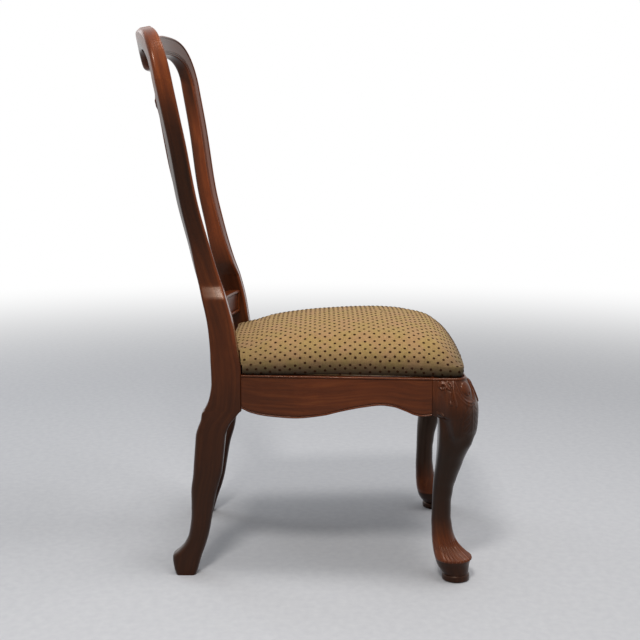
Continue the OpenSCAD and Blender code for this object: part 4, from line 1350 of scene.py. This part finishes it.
def stuffedCopy(piece):
    copy = addObject("stuffing_trial", piece.data.copy())
    for vertex in copy.data.vertices:
        vertex.co -= vertex.normal * stuffing["smaller"] * metre
    remesh = copy.modifiers.new("remesh", "REMESH")
    remesh.mode = "VOXEL"
    remesh.voxel_size = stuffing["voxel"] * metre
    bpy.context.view_layer.update()
    shape = nowMesh(copy)
    copy.modifiers.clear()
    copy.data = shape
    hem = copy.vertex_groups.new(name="hem")
    low = (chair["railTop"] + stuffing["hemHeight"]) * metre
    hem.add([v.index for v in shape.vertices if v.co.z < low], 1.0, "REPLACE")
    sewn = copy.modifiers.new("stuffing", "CLOTH")
    sewn.settings.vertex_group_mass = "hem"
    sewn.settings.use_pressure = True
    sewn.settings.uniform_pressure_force = stuffing["pressure"]
    sewn.settings.effector_weights.gravity = 0.0
    sewn.point_cache.frame_end = stuffing["frames"]
    for step in range(1, stuffing["frames"] + 1):
        bpy.context.scene.frame_set(step)
    swollen = nowMesh(copy)
    tree = BVHTree.FromPolygons([v.co.copy() for v in swollen.vertices],
                                [tuple(p.vertices) for p in swollen.polygons])
    bpy.data.objects.remove(copy)
    bpy.context.scene.frame_set(1)
    return tree


def neighbours(mesh):
    beside = [[] for _ in mesh.vertices]
    for edge in mesh.edges:
        a, b = edge.vertices
        beside[a].append(b)
        beside[b].append(a)
    return beside


# How free a point of the cover is: not at all at the hem and beside the posts
def freedom(p, limits):
    above = [chair["railTop"] + h for h in limits["heights"]]
    return smooth(p.z / metre, *above) * (1 - smooth(p.y / metre, *limits["clearOfPosts"]))


def easeCover(piece):
    mesh = piece.data
    beside = neighbours(mesh)
    places = [v.co.copy() for v in mesh.vertices]
    free = [easing["share"] * freedom(p, easing) for p in places]
    for _ in range(easing["rounds"]):
        places = [p.lerp(sum((places[i] for i in near), Vector()) / len(near), f) if f else p
                  for p, near, f in zip(places, beside, free)]
    for vertex, p in zip(mesh.vertices, places):
        vertex.co = p
    mesh.update()


def stuff(piece):
    tree = stuffedCopy(piece)
    mesh = piece.data
    reach, cap, share = stuffing["reach"] * metre, stuffing["cap"], stuffing["share"]
    moves = []
    for vertex in mesh.vertices:
        hit = tree.ray_cast(vertex.co + vertex.normal * reach, -vertex.normal, 2 * reach)
        move = (hit[0] - vertex.co).dot(vertex.normal) / metre if hit[0] is not None else 0.0
        moves.append(max(-cap, min(cap, move)) * freedom(vertex.co, stuffing))
    beside = neighbours(mesh)
    for _ in range(stuffing["rounds"]):
        moves = [(1 - share) * m + share * sum(moves[i] for i in near) / len(near)
                 for m, near in zip(moves, beside)]
    normals = [vertex.normal.copy() for vertex in mesh.vertices]
    for vertex, normal, move in zip(mesh.vertices, normals, moves):
        vertex.co += normal * move * metre
    mesh.update()
    print("cover stuffed, moved from", round(min(moves), 1), "to", round(max(moves), 1), "mm")


# Woven dots, standing a little off the cover, in a diamond pattern
tufts = {
    "columnStep": 19.2,   # between dots along the seat
    "rowStep": 20.6,      # between dots across the seat
    "half": (2.55, 2.7),
    "high": 0.75,
    "sunk": 0.7,
    "corners": 9,
    "wander": 0.7,
    "middleY": -80.0,
    "hemHeight": 3.0,     # no dots below this height above the rails
}


def clothPlaces(mesh):
    layer = mesh.attributes["cloth"].data
    return [Vector(layer[i].vector) for i in range(len(mesh.vertices))]


# A place on the flat cloth, carried to the cover by the triangle it lies in
def onCover(at, mesh, flat, corners):
    lying, standing = [flat[i] for i in corners], [mesh.vertices[i].co / metre for i in corners]
    return geometry.barycentric_transform(at, *lying, *standing)


# Where the dots lie on the flat cloth, each with its triangle of the cover. They are
# chosen before the cover is stuffed
def dotPlaces(piece):
    mesh = piece.data
    flat = clothPlaces(mesh)
    triangles = []
    for face in mesh.polygons:
        corners = list(face.vertices)
        triangles += [(corners[0], corners[k], corners[k + 1]) for k in range(1, len(corners) - 1)]
    triangles = [t for t in triangles if geometry.area_tri(*(flat[i] for i in t)) > 0.01]
    tree = BVHTree.FromPolygons(flat, triangles)
    dots = []
    columns = rows = range(-32, 33)
    for column in columns:
        for row in rows:
            if (column + row) % 2:
                continue
            at = Vector((row * tufts["rowStep"] / 2, column * tufts["columnStep"] / 2 + tufts["middleY"], 0))
            stray = noise.noise_vector(at * 0.09)
            at += Vector((stray.x, stray.y, 0)) * tufts["wander"]
            _, _, index, _ = tree.find_nearest(at, 0.05)
            if index is None:
                continue
            corners = triangles[index]
            if onCover(at, mesh, flat, corners).z >= chair["railTop"] + tufts["hemHeight"]:
                dots.append((at, corners))
    return dots


def addTufts(piece, dots):
    mesh = piece.data
    flat = clothPlaces(mesh)
    verts, faces = [], []
    n = tufts["corners"]
    for at, corners in dots:
        middle = onCover(at, mesh, flat, corners)
        across = (onCover(at + Vector((1, 0, 0)), mesh, flat, corners) - middle).normalized()
        up = sum((mesh.vertices[i].normal for i in corners), Vector()).normalized()
        along = up.cross(across).normalized()
        first = len(verts)
        for share, high in ((0.9, -tufts["sunk"]), (1.0, 0.1), (0.78, tufts["high"] * 0.8)):
            for k in range(n):
                turn = math.tau * k / n
                verts.append(middle + up * high + across * math.cos(turn) * tufts["half"][0] * share
                             + along * math.sin(turn) * tufts["half"][1] * share)
        verts.append(middle + up * tufts["high"])
        faces.append(tuple(first + k for k in reversed(range(n))))
        faces += [tuple(first + i for i in face) for face in ringFaces(3, n)]
        faces += [(first + 2 * n + k, first + 2 * n + (k + 1) % n, first + 3 * n) for k in range(n)]
    shape = bmesh.new()
    shape.from_mesh(mesh)
    made = [shape.verts.new(v * metre) for v in verts]
    for face in faces:
        shape.faces.new([made[i] for i in face]).material_index = 1
    for face in shape.faces:
        face.smooth = True
    shape.to_mesh(mesh)
    shape.free()
    mesh.materials.append(dotYarn)
    print("woven dots:", len(dots))


def makeCushion():
    verts, faces, cloths = makeSeatDome()
    piece = meshPiece("seat_cushion", verts, faces, seatFabric, sharp=70)
    layer = piece.data.attributes.new("cloth", "FLOAT_VECTOR", "POINT")
    layer.data.foreach_set("vector", [c for point in cloths for c in point])
    weld(piece, 0.02 * metre)
    easeCover(piece)
    dots = dotPlaces(piece)
    stuff(piece)
    addTufts(piece, dots)
    place(piece, "seat_fabric", "seat_cover", "seat_foam")


makeCushion()
print("cushion made")


# Dust cover: thin black cloth stretched under the seat

dust = {
    "share": 0.879,       # of the seat's own outline
    "rings": (0.02, 0.25, 0.5, 0.75, 0.95, 1.0),
    "up": 0.35,
    "thick": 0.5,
}


def makeDustCover():
    height = chair["railTop"] + dust["up"]
    verts = []
    for ring in dust["rings"]:
        share = dust["share"] * ring
        verts += [tuple(Vector((x * share, seatMid + (y - seatMid) * share, height)) * metre)
                  for x, y in seatLine]
    count = len(seatLine)
    faces = [tuple(reversed(range(count)))] + ringFaces(len(dust["rings"]), count)
    piece = meshPiece("dust_cover_cloth", verts, faces, cambric)
    solid = piece.modifiers.new("thickness", "SOLIDIFY")
    solid.thickness = dust["thick"] * metre
    solid.offset = 1.0
    place(piece, "dust_cloth", "dust_cover")


makeDustCover()
print("dust cover made")


# Pieces whose solids are right as they are: they only get their finish

hidden = {
    "seat_board": plywood,
    "corner_block_front_right": blockWood,
    "corner_block_front_left": blockWood,
    "corner_block_rear_right": blockWood,
    "corner_block_rear_left": blockWood,
    "rail_dowels": dowelWood,
    "back_dowels": dowelWood,
    "block_screws": screwSteel,
    "seat_screws": screwSteel,
}
for node, material in hidden.items():
    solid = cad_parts[node]
    solid.data.materials.clear()
    solid.data.materials.append(material)
print("hidden pieces finished")


# Floor, backdrop and lights

studio = {
    "floor": colour(206, 207, 210),
    "floorDark": colour(199, 200, 204),
    "floorHalf": 8.0,
    "fade": (1.5, 4.2),       # distances over which the floor turns into the backdrop
    "backdrop": 1.0,          # 1 is white
    "backdropBehind": 0.56,   # behind the camera, where white would veil the polish
    "roomTint": (0.95, 0.97, 1.0, 1.0),
    "roomLight": 0.58,
    # Each light's place, target, power, size and colour
    "lights": {
        "key_light": ((-1.85, 0.28, 2.45), (0, -0.1, 0.5), 32.0, 0.42, (1.0, 0.97, 0.93)),
        "ceiling_light": ((-0.3, -0.6, 2.75), (0, -0.1, 0.4), 25.0, 0.8, (1.0, 0.98, 0.96)),
        "rear_light": ((1.7, 1.9, 1.9), (0, 0, 0.5), 12.0, 1.4, (0.94, 0.97, 1.0)),
    },
}


# 1 for what the camera sees, straight or by gloss or glass
def seenBy(tree):
    path = addNode(tree, "LightPath")
    whose = maths(tree, "MAXIMUM", path.outputs["Is Camera Ray"], path.outputs["Is Transmission Ray"])
    return maths(tree, "MAXIMUM", whose, path.outputs["Is Glossy Ray"])


# How bright the backdrop is by the direction from the chair
def backdropLevel(tree, direction):
    flat = addNode(tree, "VectorMath", {0: direction, 1: (1, 1, 0)}, operation="MULTIPLY").outputs[0]
    flat = addNode(tree, "VectorMath", {0: flat}, operation="NORMALIZE").outputs[0]
    along = addNode(tree, "SeparateXYZ", {0: flat}).outputs[0]
    return addNode(tree, "MapRange", {"Value": along, 1: -0.75, 2: -0.1, 3: studio["backdropBehind"],
                                      4: studio["backdrop"]}, interpolation_type="SMOOTHSTEP").outputs[0]


def makeFloor():
    size = studio["floorHalf"]
    corners = [(-size, -size, 0), (size, -size, 0), (size, size, 0), (-size, size, 0)]
    mesh = bpy.data.meshes.new("floor")
    mesh.from_pydata(corners, [], [(0, 1, 2, 3)])
    material, tree, shader = newMaterial("pale_floor")
    coords = addNode(tree, "TexCoord").outputs["Object"]
    speck = noiseAt(tree, coords, 60.0, 3.0)
    tone = ramp(tree, speck, [(0.3, studio["floorDark"]), (0.7, studio["floor"])])
    tree.links.new(tone, shader.inputs["Base Color"])
    shader.inputs["Roughness"].default_value = 0.8
    away = addNode(tree, "VectorMath", {0: coords}, operation="LENGTH").outputs["Value"]
    low, high = studio["fade"]
    away = addNode(tree, "MapRange", {"Value": away, 1: low, 2: high},
                   interpolation_type="SMOOTHSTEP").outputs[0]
    white = addNode(tree, "Emission", {"Color": (1, 1, 1, 1), "Strength": backdropLevel(tree, coords)})
    share = maths(tree, "MULTIPLY", away, seenBy(tree))
    faded = addNode(tree, "MixShader", {0: share, 1: shader.outputs[0], 2: white.outputs[0]})
    output = next(n for n in tree.nodes if n.type == "OUTPUT_MATERIAL")
    tree.links.new(faded.outputs[0], output.inputs["Surface"])
    mesh.materials.append(material)
    addObject("floor", mesh)


def makeWorld():
    world = bpy.data.worlds.new("studio")
    bpy.context.scene.world = world
    world.use_nodes = True
    tree = world.node_tree
    tree.nodes.clear()
    coords = addNode(tree, "TexCoord").outputs["Generated"]
    split = addNode(tree, "SeparateXYZ", {0: coords})
    # dimmer behind the camera than behind the chair, and bright above
    level = ramp(tree, maths(tree, "ADD", maths(tree, "MULTIPLY", split.outputs[0], 0.5), 0.5),
                 [(0.0, (0.3, 0.3, 0.3, 1)), (0.4, (0.4, 0.4, 0.4, 1)), (0.6, (0.6, 0.6, 0.6, 1)),
                  (0.85, (0.9, 0.9, 0.9, 1))])
    level = maths(tree, "MAXIMUM", level, span(tree, split.outputs[2], 0.0, 0.8, 0.3, 0.9))
    level = maths(tree, "MULTIPLY", level, studio["roomLight"])
    lit = addNode(tree, "Background", {"Color": studio["roomTint"], "Strength": level}).outputs[0]
    seen = addNode(tree, "Background", {"Color": (1, 1, 1, 1), "Strength": backdropLevel(tree, coords)})
    mixed = addNode(tree, "MixShader", {0: seenBy(tree), 1: lit, 2: seen.outputs[0]}).outputs[0]
    output = addNode(tree, "OutputWorld")
    tree.links.new(mixed, output.inputs["Surface"])


def makeLight(name, at, target, power, size, tint):
    data = bpy.data.lights.new(name, "AREA")
    data.energy, data.size, data.color = power, size, tint
    light = addObject(name, data)
    light.location = at
    light.rotation_euler = (Vector(target) - Vector(at)).to_track_quat("-Z", "Y").to_euler()


makeFloor()
makeWorld()
for name, settings in studio["lights"].items():
    makeLight(name, *settings)
print("stage and lights made")


# Camera, as the photograph was taken

view = {
    "at": (-2.458, -0.032, 0.892),
    "down": math.radians(9.6),
    "focal": 1200.0,       # in pixels of the 640-pixel picture
    "picture": 640.0,
    "sensor": 36.0,
}


def makeCamera():
    data = bpy.data.cameras.new("camera")
    data.sensor_width = view["sensor"]
    data.lens = view["focal"] / view["picture"] * view["sensor"]
    camera = addObject("camera", data)
    camera.location = view["at"]
    camera.rotation_euler = (math.pi / 2 - view["down"], 0, -math.pi / 2)
    bpy.context.scene.camera = camera


makeCamera()
bpy.context.scene.view_settings.view_transform = "Standard"
print("camera set")
